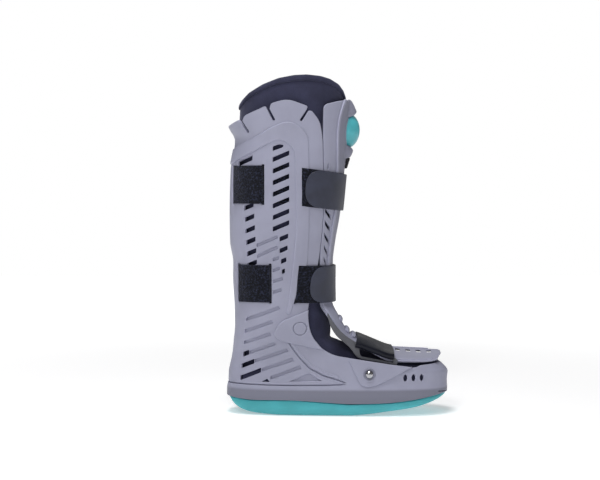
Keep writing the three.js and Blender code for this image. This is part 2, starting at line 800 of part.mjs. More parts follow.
function flange(name, side) {
  const inner = neckHalfShare * soleWidth + fitGap;
  const outer = inner + flangeThickness;
  const corners = FLANGE.map(flangeCorner);
  const plate = across(corners.toReversed(), inner, outer);
  const slot = across(CRADLE.map((row) => ({
    x: corners[row.corner].x + row.ahead * flangeBar,
    z: corners[row.corner].z + row.rise * flangeBar,
    round: (row.round ?? 0) * cornerRound,
  })), inner - 1, outer + 1);
  const cradle = plate.subtract(slot);
  const solid = side < 0 ? cradle.mirror([0, 1, 0]) : cradle;
  return meshOf(name, solid.subtract(footStrapSolid(1.5 * fitGap)), 0x6e7076, 0.7);
}

// Calf straps: outside behind, inside the shell's side, outside again in front
function ring(low, high, from, to, fall) {
  const outer = loft(bootSections, levelsBetween(bootSections, low, high), to, fall);
  const inner = loft(bootSections, levelsBetween(bootSections, low - 1, high + 1), from, fall);
  return outer.subtract(inner);
}

function calfStrap(strap) {
  const low = up(strap.level) - strapWidth / 2;
  const high = up(strap.level) + strapWidth / 2;
  const under = -shellWall - fitGap;
  const whole = ring(low, high, under - strapThickness, fitGap + strapThickness, strap.fall);
  const overIt = ring(low - 1, high + 1, under, fitGap + strapThickness + 1, strap.fall);
  const underIt = ring(low - 1, high + 1, under - strapThickness - 1, fitGap, strap.fall);
  const slab = (x0, x1) => box(x0, x1, -past * 2, past * 2, low - past, high + past);
  const half = strapSlotWidth / 2 - fitGap;
  const [rear, middle, front] = [along(strap.rear), along(strap.middle), along(strap.front)];
  const solid = whole
    .subtract(overIt.intersect(slab(along(-0.5), rear - half)))
    .subtract(underIt.intersect(slab(rear + half, middle - half)))
    .subtract(overIt.intersect(slab(middle + half, front - half)))
    .subtract(underIt.intersect(slab(front + half, along(0.5))));
  return meshOf(`${strap.name}_calf_strap`, solid, 0x26272f, 0.95);
}

function strapTab(strap) {
  const low = up(strap.level) - strapWidth / 2;
  const high = up(strap.level) + strapWidth / 2;
  const under = 2 * fitGap + strapThickness;
  const band = ring(low + fitGap, high - fitGap, under, under + tabThickness, strap.fall);
  const round = strapWidth * tabRoundShare;
  const middle = up(strap.level) - 2 * strap.fall * round;
  const near = across([
    { x: along(strap.tab), z: middle - strapWidth / 2, round },
    { x: along(0.4), z: low - past },
    { x: along(0.4), z: high + past },
    { x: along(strap.tab), z: middle + strapWidth / 2, round },
  ], -soleWidth, 0.01);
  const far = box(along(strap.front) + strapSlotWidth, along(0.4), 0, soleWidth, low - past, high + past);
  return meshOf(`${strap.name}_strap_tab`, band.intersect(near.add(far)), 0x32333f, 0.55);
}

// Foot strap over the panel, with a roll at each flange
function footStrapRows(grown) {
  const rows = neckRows();
  const middle = along(FOOT_STRAP_MIDDLE);
  const start = middle - footStrapWidth / 2 - grown;
  const end = middle + footStrapWidth / 2 + grown;
  const atX = (x) => {
    const k = rows.findIndex((row) => row.x > x);
    const t = (x - rows[k - 1].x) / (rows[k].x - rows[k - 1].x);
    const mix = (key) => THREE.MathUtils.lerp(rows[k - 1][key], rows[k][key], t);
    return { x, z: mix("z"), half: mix("half"), crown: mix("crown"), roll: mix("roll") };
  };
  const kept = rows.filter((row) => row.x > start + 1 && row.x < end - 1);
  return [atX(start), ...kept, atX(end)].map((row) => {
    const half = row.half + rollRadius * 1.7;
    const z = row.z + 1.5 * fitGap + footStrapThickness + grown;
    return { ...row, z, half, crown: row.crown * (half / row.half) ** 2 };
  });
}

function strapRoll(side, grown) {
  const rows = footStrapRows(0);
  const [from, to] = [rows[0], rows[rows.length - 1]].map((row) => {
    const lean = side * row.half * Math.tan(THREE.MathUtils.degToRad(row.roll));
    return new THREE.Vector3(row.x, side * row.half, row.z - row.crown - rollRadius * 0.6 + lean);
  });
  const radius = rollRadius + grown;
  const geometry = new THREE.CylinderGeometry(radius, radius, from.distanceTo(to) + 2 * grown, 10);
  const upright = new THREE.Vector3(0, 1, 0);
  const turn = new THREE.Quaternion().setFromUnitVectors(upright, to.clone().sub(from).normalize());
  geometry.applyQuaternion(turn);
  geometry.translate((from.x + to.x) / 2, (from.y + to.y) / 2, (from.z + to.z) / 2);
  return solidOf(geometry);
}

function footStrapSolid(grown) {
  const strap = bentPlate(footStrapRows(grown), footStrapThickness + 2 * grown, 10);
  return strap.add(strapRoll(-1, grown)).add(strapRoll(1, grown));
}

function footStrap() {
  return meshOf("foot_strap", footStrapSolid(0), 0x24262f, 0.9);
}

// Rivet heads on the bosses
function rivet(name, side) {
  const x = along(RIVET.x);
  const z = up(RIVET.level);
  const y = surfaceY(shellSections, x, z, raisedDepth) + fitGap;
  const profile = [new THREE.Vector2(0, 0), new THREE.Vector2(rivetRadius, 0)];
  for (let k = 1; k <= 4; k += 1) {
    const turn = (Math.PI / 2) * (k / 4);
    const radius = k === 4 ? 0 : rivetRadius * Math.cos(turn);
    profile.push(new THREE.Vector2(radius, rivetHeight * Math.sin(turn)));
  }
  const geometry = new THREE.LatheGeometry(profile, 16);
  geometry.rotateX(side < 0 ? Math.PI : 0);
  geometry.translate(x, side * y, z);
  return meshOf(name, solidOf(geometry), 0xc8c9cf, 0.25, 0.9);
}

const boot = new THREE.Group();
boot.add(outsole());
boot.add(rearShell());
boot.add(liner());
boot.add(frontPanel());
boot.add(pumpBulb());
boot.add(valveButton());
boot.add(flange("strap_flange_near", -1));
boot.add(flange("strap_flange_far", 1));
for (const strap of STRAPS) {
  boot.add(calfStrap(strap));
  boot.add(strapTab(strap));
}
boot.add(footStrap());
boot.add(rivet("rivet_near", -1));
boot.add(rivet("rivet_far", 1));

export default boot;
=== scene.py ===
import math

import bmesh
import bpy
import numpy
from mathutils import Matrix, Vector
from mathutils.geometry import delaunay_2d_cdt


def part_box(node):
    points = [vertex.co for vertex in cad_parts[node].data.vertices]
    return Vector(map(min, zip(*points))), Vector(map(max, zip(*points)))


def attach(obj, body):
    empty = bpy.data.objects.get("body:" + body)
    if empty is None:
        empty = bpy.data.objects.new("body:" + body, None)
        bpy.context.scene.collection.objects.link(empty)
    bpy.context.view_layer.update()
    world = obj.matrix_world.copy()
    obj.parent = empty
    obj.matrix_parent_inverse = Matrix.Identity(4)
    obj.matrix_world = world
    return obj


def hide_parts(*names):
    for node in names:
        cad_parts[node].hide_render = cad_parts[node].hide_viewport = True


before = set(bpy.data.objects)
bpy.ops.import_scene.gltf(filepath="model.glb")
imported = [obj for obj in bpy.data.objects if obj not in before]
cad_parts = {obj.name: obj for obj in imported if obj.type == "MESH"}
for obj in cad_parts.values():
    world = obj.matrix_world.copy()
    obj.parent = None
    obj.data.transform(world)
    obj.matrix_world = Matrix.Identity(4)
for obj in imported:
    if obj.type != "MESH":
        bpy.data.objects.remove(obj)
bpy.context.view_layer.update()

bl_info = {
    "name": "Tall Walking Boot",
    "version": (1, 0, 0),
    "blender": (4, 5, 0),
    "location": "3D View > Sidebar > Boot",
    "description": "Models a tall walking boot with its shell, liner, straps, pump and outsole",
    "category": "Add Mesh",
}

MM = 0.001
SAME_PLACE = 2e-5  # metres within which two points count as one


# ---------------------------------------------------------------- sizes and colours
def colour_of(red, green, blue):
    """Linear colour of a finish seen as these three 0 to 255 numbers."""
    shares = [value / 255 for value in (red, green, blue)]
    return [s / 12.92 if s <= 0.04045 else ((s + 0.055) / 1.055) ** 2.4 for s in shares]


def length_prop(name, default, text):
    """A length in the sidebar."""
    return bpy.props.FloatProperty(name=name, description=text, default=default, min=0, unit="LENGTH")


def colour_prop(name, default, text):
    """A colour in the sidebar."""
    return bpy.props.FloatVectorProperty(
        name=name, description=text, default=default, size=3, min=0, max=1, subtype="COLOR")


class BootSizes(bpy.types.PropertyGroup):
    """Sizes that a user would change"""
    wall: length_prop("Shell wall", 0.0035, "Thickness of the rear shell")
    recess: length_prop("Recess", 0.0023, "Depth of the blind grooves in the shell")
    raised: length_prop("Raised panels", 0.0016, "How far the ankle panel and the boss stand out")
    edge: length_prop("Edge rounding", 0.0007, "Rounding of the moulded edges")
    strap_width: length_prop("Strap width", 0.048, "Width of the calf straps")
    strap_thickness: length_prop("Strap thickness", 0.0022, "Thickness of the calf straps")
    tab_thickness: length_prop("Tab thickness", 0.002, "Thickness of the tabs that close the straps")
    binding: length_prop("Liner binding", 0.0062, "Height of the band bound over the liner's top edge")


class BootColours(bpy.types.PropertyGroup):
    """Colours that a user would change"""
    shell: colour_prop("Shell", colour_of(152, 153, 173), "Moulded plastic of shell and front panel")
    # the base band's darker colour is painted shade on the inward-sloping lower band
    band: colour_prop("Base band", colour_of(120, 121, 137), "Band round the shell's base")
    sole: colour_prop("Sole", colour_of(68, 172, 180), "Rubber outsole")
    bulb: colour_prop("Bulb", colour_of(80, 178, 188), "Pump bulb")
    liner: colour_prop("Liner", colour_of(52, 53, 75), "Padded liner")
    strap: colour_prop("Strap", colour_of(15, 17, 27), "Loop side of the straps")
    tab: colour_prop("Tab", colour_of(49, 52, 68), "Smooth side of the straps")
    flange: colour_prop("Flange", colour_of(88, 89, 95), "Flanges beside the foot strap")


# ---------------------------------------------------------------- tables of the boot
SOLE_LENGTH, SOLE_WIDTH, CALF_WIDTH, FOOT_HEIGHT, LEG_HEIGHT = 286.0, 104.0, 114.0, 80.0, 320.0
LEG_FROM, LEG_TO = 84, 444  # heights of the leg's walls


def along(share):
    """Millimetres in front of the origin for a share of the sole's length."""
    return share * SOLE_LENGTH


def up(level):
    """Millimetres above the ground for a level: 0 to 1 is the foot, 1 to 2 the leg."""
    return level * FOOT_HEIGHT if level < 1 else FOOT_HEIGHT + (level - 1) * LEG_HEIGHT


def foot_row(level, rear, toe, heel, ball, power):
    """A section of the foot: height, rear and toe, half widths there, and how square it is."""
    return up(level), along(rear), along(toe), heel * SOLE_WIDTH, ball * SOLE_WIDTH, power


def leg_row(level, rear, front, half, power=2.3):
    """A section of the leg, as wide behind as in front."""
    return up(level), along(rear), along(front), half * CALF_WIDTH, half * CALF_WIDTH, power


FOOT = [
    foot_row(0.1, -0.328, 0.66, 0.4, 0.49, 2.9),
    foot_row(0.3, -0.333, 0.67, 0.41, 0.5, 2.9),
    foot_row(0.44, -0.332, 0.67, 0.411, 0.501, 2.9),
    foot_row(0.49, -0.328, 0.668, 0.402, 0.492, 2.9),
    foot_row(0.53, -0.326, 0.668, 0.394, 0.484, 2.9),
    foot_row(0.68, -0.324, 0.672, 0.39, 0.48, 2.9),
    foot_row(0.77, -0.319, 0.652, 0.39, 0.475, 2.8),
    foot_row(0.84, -0.314, 0.63, 0.39, 0.47, 2.8),
    foot_row(0.98, -0.307, 0.6, 0.395, 0.46, 2.7),
]
LEG = [
    leg_row(1.05, -0.301, 0.2, 0.382, 2.4),
    leg_row(1.1, -0.296, 0.165, 0.378),
    leg_row(1.19, -0.298, 0.147, 0.383),
    leg_row(1.29, -0.304, 0.145, 0.412),
    leg_row(1.36, -0.303, 0.145, 0.439),
    leg_row(1.44, -0.317, 0.155, 0.469),
    leg_row(1.56, -0.319, 0.178, 0.495),
    leg_row(1.73, -0.314, 0.197, 0.5),
    leg_row(1.82, -0.3, 0.208, 0.495),
    leg_row(2.14, -0.292, 0.236, 0.5),
]
PETALS = [
    leg_row(1.85, -0.294, 0.211, 0.495),
    leg_row(1.9, -0.322, 0.216, 0.515),
    leg_row(2.02, -0.372, 0.228, 0.545),
]
# Corners of the shell's upper edge, from the heel: share, level and corner round, or, for a
# slit between two petals, share and level of its top and of its foot.
SHELL_TOP = [
    (-0.4, 1.87, 0), (-0.326, 1.904, 2), (-0.274, 1.926, 6),
    (-0.26, 1.92, (-0.228, 1.876)),
    (-0.246, 1.942, 5), (-0.152, 1.978, 4),
    (-0.138, 1.965, (-0.113, 1.922)),
    (-0.128, 1.988, 6), (-0.056, 2.006, 22), (0.034, 1.978, 8),
    (0.034, 1.962, (0.003, 1.92)),
    (0.052, 1.96, 6), (0.088, 1.92, 14), (0.1, 1.86, 20), (0.108, 1.58, 40), (0.085, 1.365, 20),
    (0.03, 1.16, 30), (0.05, 1.06, 30), (0.13, 0.98, 20), (0.43, 0.812, 20), (0.503, 0.778, 4),
    (0.52, 0.778, 3), (0.534, 0.806, 3), (0.62, 0.83, 0), (0.74, 0.83, 0),
]
# The line between shell and outsole: share, level and corner round.
SPLIT = [
    (-0.42, 0.29, 0), (-0.32, 0.28, 20), (-0.23, 0.245, 20), (-0.03, 0.26, 30), (0.22, 0.195, 30),
    (0.4, 0.215, 30), (0.52, 0.265, 20), (0.64, 0.345, 20), (0.76, 0.4, 0),
]


# ---------------------------------------------------------------- plane outlines
def eased(knots, values, where):
    """Values between a table's rows, without overshoot and without kinks at the rows."""
    knots, values = numpy.asarray(knots, float), numpy.asarray(values, float)
    step = numpy.diff(knots)
    slope = numpy.diff(values) / step
    tangent = numpy.zeros(len(knots))
    before, after = slope[:-1], slope[1:]
    same = before * after > 0
    safe = numpy.where(same, before + after, 1)
    tangent[1:-1] = numpy.where(same, 2 * before * after / safe, 0)
    tangent[0], tangent[-1] = slope[0], slope[-1]
    where = numpy.clip(where, knots[0], knots[-1])
    k = numpy.clip(numpy.searchsorted(knots, where) - 1, 0, len(step) - 1)
    t = (where - knots[k]) / step[k]
    return (values[k] * (1 + 2 * t) * (1 - t) ** 2 + values[k + 1] * t * t * (3 - 2 * t)
            + step[k] * t * (1 - t) * (tangent[k] * (1 - t) - tangent[k + 1] * t))


def rise(t):
    """A soft step from 0 to 1."""
    t = numpy.clip(t, 0, 1)
    return t * t * (3 - 2 * t)


def rounded(corners, closed=True, arc=7):
    """Points of an outline whose corners, each (x, z, radius), are rounded."""
    points = []
    count = len(corners)
    for k, (x, z, radius) in enumerate(corners):
        here = Vector((x, z))
        if radius <= 0 or (not closed and k in (0, count - 1)):
            points.append((x, z))
            continue
        back = Vector(corners[k - 1][:2]) - here
        ahead = Vector(corners[(k + 1) % count][:2]) - here
        cut = min(radius, back.length * 0.48, ahead.length * 0.48)
        start, end = here + back.normalized() * cut, here + ahead.normalized() * cut
        for step in range(arc + 1):
            t = step / arc
            spot = start * (1 - t) ** 2 + here * 2 * t * (1 - t) + end * t * t
            points.append((spot.x, spot.y))
    return points


def dense(points, step=2.2, closed=True):
    """The same outline with no side longer than the step."""
    out = []
    count = len(points)
    for k in range(count if closed else count - 1):
        a, b = Vector(points[k]), Vector(points[(k + 1) % count])
        parts = max(1, math.ceil((b - a).length / step))
        out += [tuple(a.lerp(b, n / parts)) for n in range(parts)]
    if not closed:
        out.append(tuple(points[-1]))
    return out


def smooth_line(line):
    """Sixty points of a smooth line through side-view points."""
    x, z = zip(*line)
    run = numpy.concatenate([[0], numpy.cumsum(numpy.hypot(numpy.diff(x), numpy.diff(z)))])
    where = numpy.linspace(0, run[-1], 60)
    return [(float(a), float(b)) for a, b in zip(eased(run, x, where), eased(run, z, where))]


def area_of(points):
    """Area inside an outline, negative when it runs clockwise."""
    a = numpy.asarray(points)
    b = numpy.roll(a, -1, axis=0)
    return float(numpy.sum(a[:, 0] * b[:, 1] - b[:, 0] * a[:, 1]) / 2)


def ribbon(points, half, ends=4):
    """Outline of a strip of the given half width along a line, with round ends."""
    line = numpy.asarray(dense(points, 2.0, closed=False))
    run = numpy.gradient(line, axis=0)
    run /= numpy.linalg.norm(run, axis=1)[:, None]
    side = numpy.stack([-run[:, 1], run[:, 0]], axis=1) * half
    left, right = (line + side).tolist(), (line - side)[::-1].tolist()
    caps = []
    for spot, way in ((line[-1], run[-1]), (line[0], -run[0])):
        turn = math.atan2(way[1], way[0])
        caps.append([(spot[0] + half * math.cos(turn + math.pi * (0.5 - k / ends)),
                      spot[1] + half * math.sin(turn + math.pi * (0.5 - k / ends)))
                     for k in range(1, ends)])
    return [tuple(p) for p in left] + caps[0] + [tuple(p) for p in right] + caps[1]


def slant(x, z, length, high=6.0, lift=0.42, radius=1.0):
    """A slanted slot from its lower rear end."""
    top = z + lift * length
    return rounded([(x, z - high / 2, radius), (x + length, top - high / 2, radius),
                    (x + length, top + high / 2, radius), (x, z + high / 2, radius)], arc=3)


def inside(point, outline):
    """Whether a point lies in an outline."""
    x, z = point
    hit = False
    count = len(outline)
    for k in range(count):
        (ax, az), (bx, bz) = outline[k - 1], outline[k]
        if (az > z) != (bz > z) and x < ax + (z - az) * (bx - ax) / (bz - az):
            hit = not hit
    return hit


def crossing(a, b, outline):
    """First place where the line from a to b meets an outline, as side number and point."""
    a, b = Vector(a), Vector(b)
    for k in range(len(outline)):
        c, d = Vector(outline[k]), Vector(outline[(k + 1) % len(outline)])
        turn = (b.x - a.x) * (d.y - c.y) - (b.y - a.y) * (d.x - c.x)
        if abs(turn) < 1e-12:
            continue
        t = ((c.x - a.x) * (d.y - c.y) - (c.y - a.y) * (d.x - c.x)) / turn
        s = ((c.x - a.x) * (b.y - a.y) - (c.y - a.y) * (b.x - a.x)) / turn
        if 0 <= t <= 1 and 0 <= s <= 1:
            return k, tuple(a.lerp(b, t))
    raise ValueError("an outline that should meet another doesn't")


def trimmed(shape, border):
    """The part of a shape inside a border that it leaves once."""
    count = len(shape)
    flags = [inside(p, border) for p in shape]
    first = next(k for k in range(count) if flags[k] and not flags[k - 1])
    shape = shape[first:] + shape[:first]
    flags = flags[first:] + flags[:first]
    kept = next((k for k in range(count) if not flags[k]), count)
    enter = crossing(shape[-1], shape[0], border)
    leave = crossing(shape[kept - 1], shape[kept], border)
    size = len(border)
    forward = [border[(leave[0] + 1 + k) % size] for k in range((enter[0] - leave[0]) % size)]
    back = [border[(leave[0] - k) % size] for k in range((leave[0] - enter[0]) % size)]

    def run(path):
        path = [leave[1], *path, enter[1]]
        return sum((Vector(a) - Vector(b)).length for a, b in zip(path, path[1:]))

    path = forward if run(forward) < run(back) else back
    return shape[:kept] + [leave[1]] + path + [enter[1]]


# ---------------------------------------------------------------- curved surfaces
def unit(vectors):
    """The same rows at length one."""
    size = numpy.linalg.norm(vectors, axis=1)[:, None]
    return vectors / numpy.where(size > 1e-12, size, 1)


class Surface:
    """Something that flat patterns are laid on: point(u, v) gives places in millimetres."""

    flow = 1.0  # -1 where u runs against the outward side
    end = None  # where the near half meets the far half, beside u = 0
    reach = 1.5  # half the step that slopes are taken over

    def normal(self, u, v):
        """Ways out of the surface, along u and along v."""
        ahead = self.point(u + self.reach, v) - self.point(u - self.reach, v)
        rising = self.point(u, v + self.reach) - self.point(u, v - self.reach)
        return unit(numpy.cross(ahead, rising)) * self.flow, unit(ahead), unit(rising)

    def lay(self, flat, ways=None):
        """Places, and turned ways, of rows (u, v, height above the surface)."""
        u, v, h = flat.T
        out, ahead, rising = self.normal(u, v)
        places = self.point(u, v) + h[:, None] * out
        if ways is None:
            return places
        turned = ways[:, :1] * ahead + ways[:, 1:2] * rising + ways[:, 2:] * out
        return places, unit(turned)


class Wall(Surface):
    """The boot's side: u runs round it from the heel or from the front, v is the height.

    With start "toe" it runs from the heel, and the foot's heights are all made as long as one
    of them, so that the far half meets the near one at the same u."""

    past = 16.0  # how far the tables run on beyond the two ends
    foot_top, measured_at = 74, 40  # the foot's upper end, and the height whose length counts
    evened_from, evened_over = 42, 88  # where along the foot the lengths are evened out

    def __init__(self, rows, low, high, start="heel"):
        self.low = low
        self.flow = -1.0 if start == "front" else 1.0
        knots = [row[0] for row in rows]
        levels = numpy.arange(low, high + 1.0)
        columns = [eased(knots, [row[k] for row in rows], levels)[:, None] for k in range(1, 6)]
        rear, front, heel, ball, power = columns
        turn = numpy.linspace(math.pi, 0, 801)[None, :]
        reach = numpy.sign(numpy.cos(turn)) * numpy.abs(numpy.cos(turn)) ** (2 / power)
        x = (rear + front) / 2 + (front - rear) / 2 * reach
        half = heel + (ball - heel) * (x - rear) / (front - rear)
        y = half * numpy.abs(numpy.sin(turn)) ** (2 / power)
        y[:, 0] = y[:, -1] = 0
        run = numpy.zeros_like(x)
        run[:, 1:] = numpy.cumsum(numpy.hypot(numpy.diff(x), numpy.diff(y)), axis=1)
        self.length = run[:, -1]
        if start == "front":
            run, x, y = run[:, -1:] - run[:, ::-1], x[:, ::-1], y[:, ::-1]
        if start == "toe":
            ends = numpy.where(levels < self.foot_top, self.length,
                               numpy.interp(self.foot_top, levels, self.length))
            self.end = float(numpy.interp(self.measured_at, levels, self.length))
            evened = rise((x - self.evened_from) / self.evened_over)
            run = run - evened * (ends - self.end)[:, None]
        self.grid = numpy.arange(-self.past, run.max() + self.past + 1)
        self.x = numpy.empty((len(levels), len(self.grid)))
        self.y = numpy.empty_like(self.x)
        for k in range(len(levels)):
            last = run[k, -1]
            folded = numpy.where(self.grid > last, 2 * last - self.grid, self.grid)
            side = numpy.where((self.grid > last) | (self.grid < 0), -1.0, 1.0)
            self.x[k] = numpy.interp(numpy.abs(folded), run[k], x[k])
            self.y[k] = numpy.interp(numpy.abs(folded), run[k], y[k]) * side
        self.run, self.side_x, self.levels = run, x, levels

    def sample(self, table, u, z):
        """Values between the cells of a table."""
        i = numpy.clip(z - self.low, 0, table.shape[0] - 1.001)
        j = numpy.clip(u - self.grid[0], 0, table.shape[1] - 1.001)
        k, m = i.astype(int), j.astype(int)
        a, b = i - k, j - m
        return ((1 - a) * ((1 - b) * table[k, m] + b * table[k, m + 1])
                + a * ((1 - b) * table[k + 1, m] + b * table[k + 1, m + 1]))

    def point(self, u, v):
        """Places on the wall; a negative u is on the far side."""
        far = u < 0
        x = self.sample(self.x, numpy.abs(u), v)
        y = self.sample(self.y, numpy.abs(u), v)
        return numpy.stack([x, numpy.where(far, y, -y), v], axis=1)

    def span(self, z):
        """How long the near half is at a height."""
        return numpy.interp(z, self.levels, self.length)

    def flat(self, points):
        """Pattern places of side-view points (x, z)."""
        out = []
        for x, z in points:
            k = int(numpy.clip(z - self.low, 0, len(self.levels) - 1.001))
            t = min(max(z - self.low - k, 0), 1)
            found = []
            for row in (k, k + 1):
                xs, us = self.side_x[row], self.run[row]
                if xs[0] > xs[-1]:
                    found.append(-(x - xs[0]) if x > xs[0] else float(numpy.interp(-x, -xs, us)))
                elif x < xs[0]:
                    found.append(-(xs[0] - x))
                elif x > xs[-1]:
                    found.append(float(us[-1] + x - xs[-1]))
                else:
                    found.append(float(numpy.interp(x, xs, us)))
            out.append((found[0] * (1 - t) + found[1] * t, z))
        return out


class Instep(Surface):
    """The strip over the instep: u runs down it from the shin, v across it to the far side."""

    crease = 0.8 * 0.62  # share of the half width from which the sides turn down
    steep = 1.6

    def __init__(self, rows):
        path = numpy.array([(row[0], row[1]) for row in rows])
        steps = numpy.linalg.norm(numpy.diff(path, axis=0), axis=1)
        self.run = numpy.concatenate([[0], numpy.cumsum(steps)])
        self.columns = [numpy.array([row[k] for row in rows]) for k in range(5)]

    def at(self, u, k):
        """One column of the rows: 0 x, 1 z, 2 half width, 3 crown, 4 roll in degrees."""
        return eased(self.run, self.columns[k], u)

    def u_of(self, x):
        """Place along the strip above a point of the sole."""
        return float(numpy.interp(x, self.columns[0], self.run))

    def half(self, u):
        """Half width of the strip."""
        return self.at(u, 2)

    def point(self, u, v):
        """Places on the strip, straight on beyond its two ends."""
        x, z, half, crown, roll = (self.at(u, k) for k in range(5))
        way = unit(numpy.stack([self.at(u + 1, k) - self.at(u - 1, k) for k in (0, 1)], axis=1))
        share = numpy.abs(v) / half
        turned = (numpy.maximum(0, share - self.crease) ** self.steep
                  / (1 - self.crease) ** self.steep)
        drop = crown * (0.3 * share ** 2 + 0.7 * turned)
        past = numpy.where(u > self.run[-1], u - self.run[-1], numpy.where(u < 0, u, 0))
        tilt = v * numpy.tan(numpy.radians(roll))
        return numpy.stack([x + way[:, 1] * drop + way[:, 0] * past, v,
                            z - way[:, 0] * drop + way[:, 1] * past + tilt], axis=1)


class Upright(Surface):
    """A plane beside the boot, seen from the near side: u is X and v is Z."""

    def __init__(self, y):
        self.y = y

    def point(self, u, v):
        """Places in the plane."""
        return numpy.stack([u, numpy.full_like(u, self.y), v], axis=1)


# ---------------------------------------------------------------- meshes
def only(obj):
    """Leave just this object selected and active."""
    bpy.ops.object.select_all(action="DESELECT")
    obj.select_set(True)
    bpy.context.view_layer.objects.active = obj


def mesh_object(name, places, faces, ways=None, edge=None, weld=0):
    """Object from places in millimetres, with smooth faces and the given vertex normals.

    edge is how much each point is lightened, as rim wear and as a painted highlight, and weld
    joins the points of the middle seam that lie within so many millimetres."""
    mesh = bpy.data.meshes.new(name)
    mesh.from_pydata([tuple(p) for p in numpy.asarray(places) * MM], [], [tuple(f) for f in faces])
    if ways is not None:
        mesh.attributes.new("way", "FLOAT_VECTOR", "POINT").data.foreach_set("vector", ways.ravel())
    if edge is not None:
        mesh.attributes.new("edge", "FLOAT", "POINT").data.foreach_set("value", edge)
    if ways is not None or weld:
        work = bmesh.new()
        work.from_mesh(mesh)
        bmesh.ops.remove_doubles(work, verts=work.verts[:], dist=SAME_PLACE)
        if weld:
            seam = [v for v in work.verts if abs(v.co.y) < SAME_PLACE]
            bmesh.ops.remove_doubles(work, verts=seam, dist=weld * MM)
        bmesh.ops.delete(work, geom=[v for v in work.verts if not v.link_faces], context="VERTS")
        work.to_mesh(mesh)
        work.free()
    mesh.validate()
    mesh.polygons.foreach_set("use_smooth", [True] * len(mesh.polygons))
    if ways is not None:
        kept = numpy.empty(len(mesh.vertices) * 3)
        mesh.attributes["way"].data.foreach_get("vector", kept)
        mesh.normals_split_custom_set_from_vertices([tuple(n) for n in kept.reshape(-1, 3)])
        mesh.attributes.remove(mesh.attributes["way"])
    obj = bpy.data.objects.new(name, mesh)
    bpy.context.scene.collection.objects.link(obj)
    return obj


def both_sides(loop, end=None):
    """A pattern's near half with the far half mirrored onto it, as one or two loops."""
    for limit, keep in ((0.0, 1), (end, -1)):
        if limit is None:
            continue
        out = []
        for k in range(len(loop)):
            a, b = loop[k - 1], loop[k]
            da, db = keep * (a[0] - limit), keep * (b[0] - limit)
            if (da < 0) != (db < 0):
                t = da / (da - db)
                out.append((limit, a[1] + (b[1] - a[1]) * t))
            if db >= 0:
                out.append(b)
        loop = out
        if limit:  # the seam at the toe gets points that both halves share
            filled = []
            for k in range(len(loop)):
                a, b = loop[k - 1], loop[k]
                parts = 1
                if abs(a[0] - limit) < 1e-6 and abs(b[0] - limit) < 1e-6:
                    parts = max(1, math.ceil(abs(b[1] - a[1]) / 4))
                filled += [(b[0], a[1] + (b[1] - a[1]) * n / parts) for n in range(1, parts)] + [b]
            loop = filled
    if not loop:
        return []
    on = [abs(p[0]) < 1e-9 for p in loop]
    if not any(on):
        return [loop, [(-u, v) for u, v in reversed(loop)]]
    first = next(k for k in range(len(loop)) if on[k] and on[k - 1])
    chain = loop[first:] + loop[:first]
    return [chain + [(-u, v) for u, v in reversed(chain[1:-1])]]


def outward(loop, end):
    """Way out of the material at each point of a loop, how much farther a corner has to move
    than a side does, and which points lie on a seam."""
    line = numpy.asarray(loop)
    ahead = numpy.roll(line, -1, axis=0) - line
    size = numpy.linalg.norm(ahead, axis=1)[:, None]
    normal = numpy.stack([ahead[:, 1], -ahead[:, 0]], axis=1) / numpy.where(size > 1e-9, size, 1)
    seam = numpy.zeros(len(line), bool)
    if end is not None:
        at_end = numpy.abs(numpy.abs(line[:, 0]) - end) < 1e-6
        seam = at_end & numpy.roll(at_end, -1)
    normal[seam] = 0
    before = numpy.roll(normal, 1, axis=0)
    total = normal + before
    length = numpy.linalg.norm(total, axis=1)
    way = total / numpy.where(length > 1e-6, length, 1)[:, None]
    cosine = numpy.sum(way * numpy.where(numpy.abs(normal).sum(1) > 0, 1, 0)[:, None] * normal, axis=1)
    miter = 1 / numpy.clip(numpy.where(cosine > 1e-3, cosine, 1), 0.6, 1)
    if end is not None:
        way[at_end, 0] = 0
        tall = numpy.abs(way[:, 1])
        way[at_end, 1] = numpy.where(tall > 1e-6, numpy.sign(way[:, 1]), 0)[at_end]
    return way, miter, seam


def inside_all(spots, places, sides):
    """Which spots lie inside closed outlines, holes left out."""
    spots = numpy.array([tuple(s) for s in spots])
    a, b = places[[s[0] for s in sides]], places[[s[1] for s in sides]]
    hits = numpy.zeros(len(spots), int)
    for start in range(0, len(spots), 400):
        x, z = spots[start:start + 400, :1], spots[start:start + 400, 1:]
        spans = (a[:, 1] > z) != (b[:, 1] > z)
        tall = numpy.where(a[:, 1] == b[:, 1], 1, b[:, 1] - a[:, 1])
        cross = a[:, 0] + (z - a[:, 1]) * (b[:, 0] - a[:, 0]) / tall
        hits[start:start + 400] = (spans & (x < cross)).sum(1)
    return hits % 2 == 1


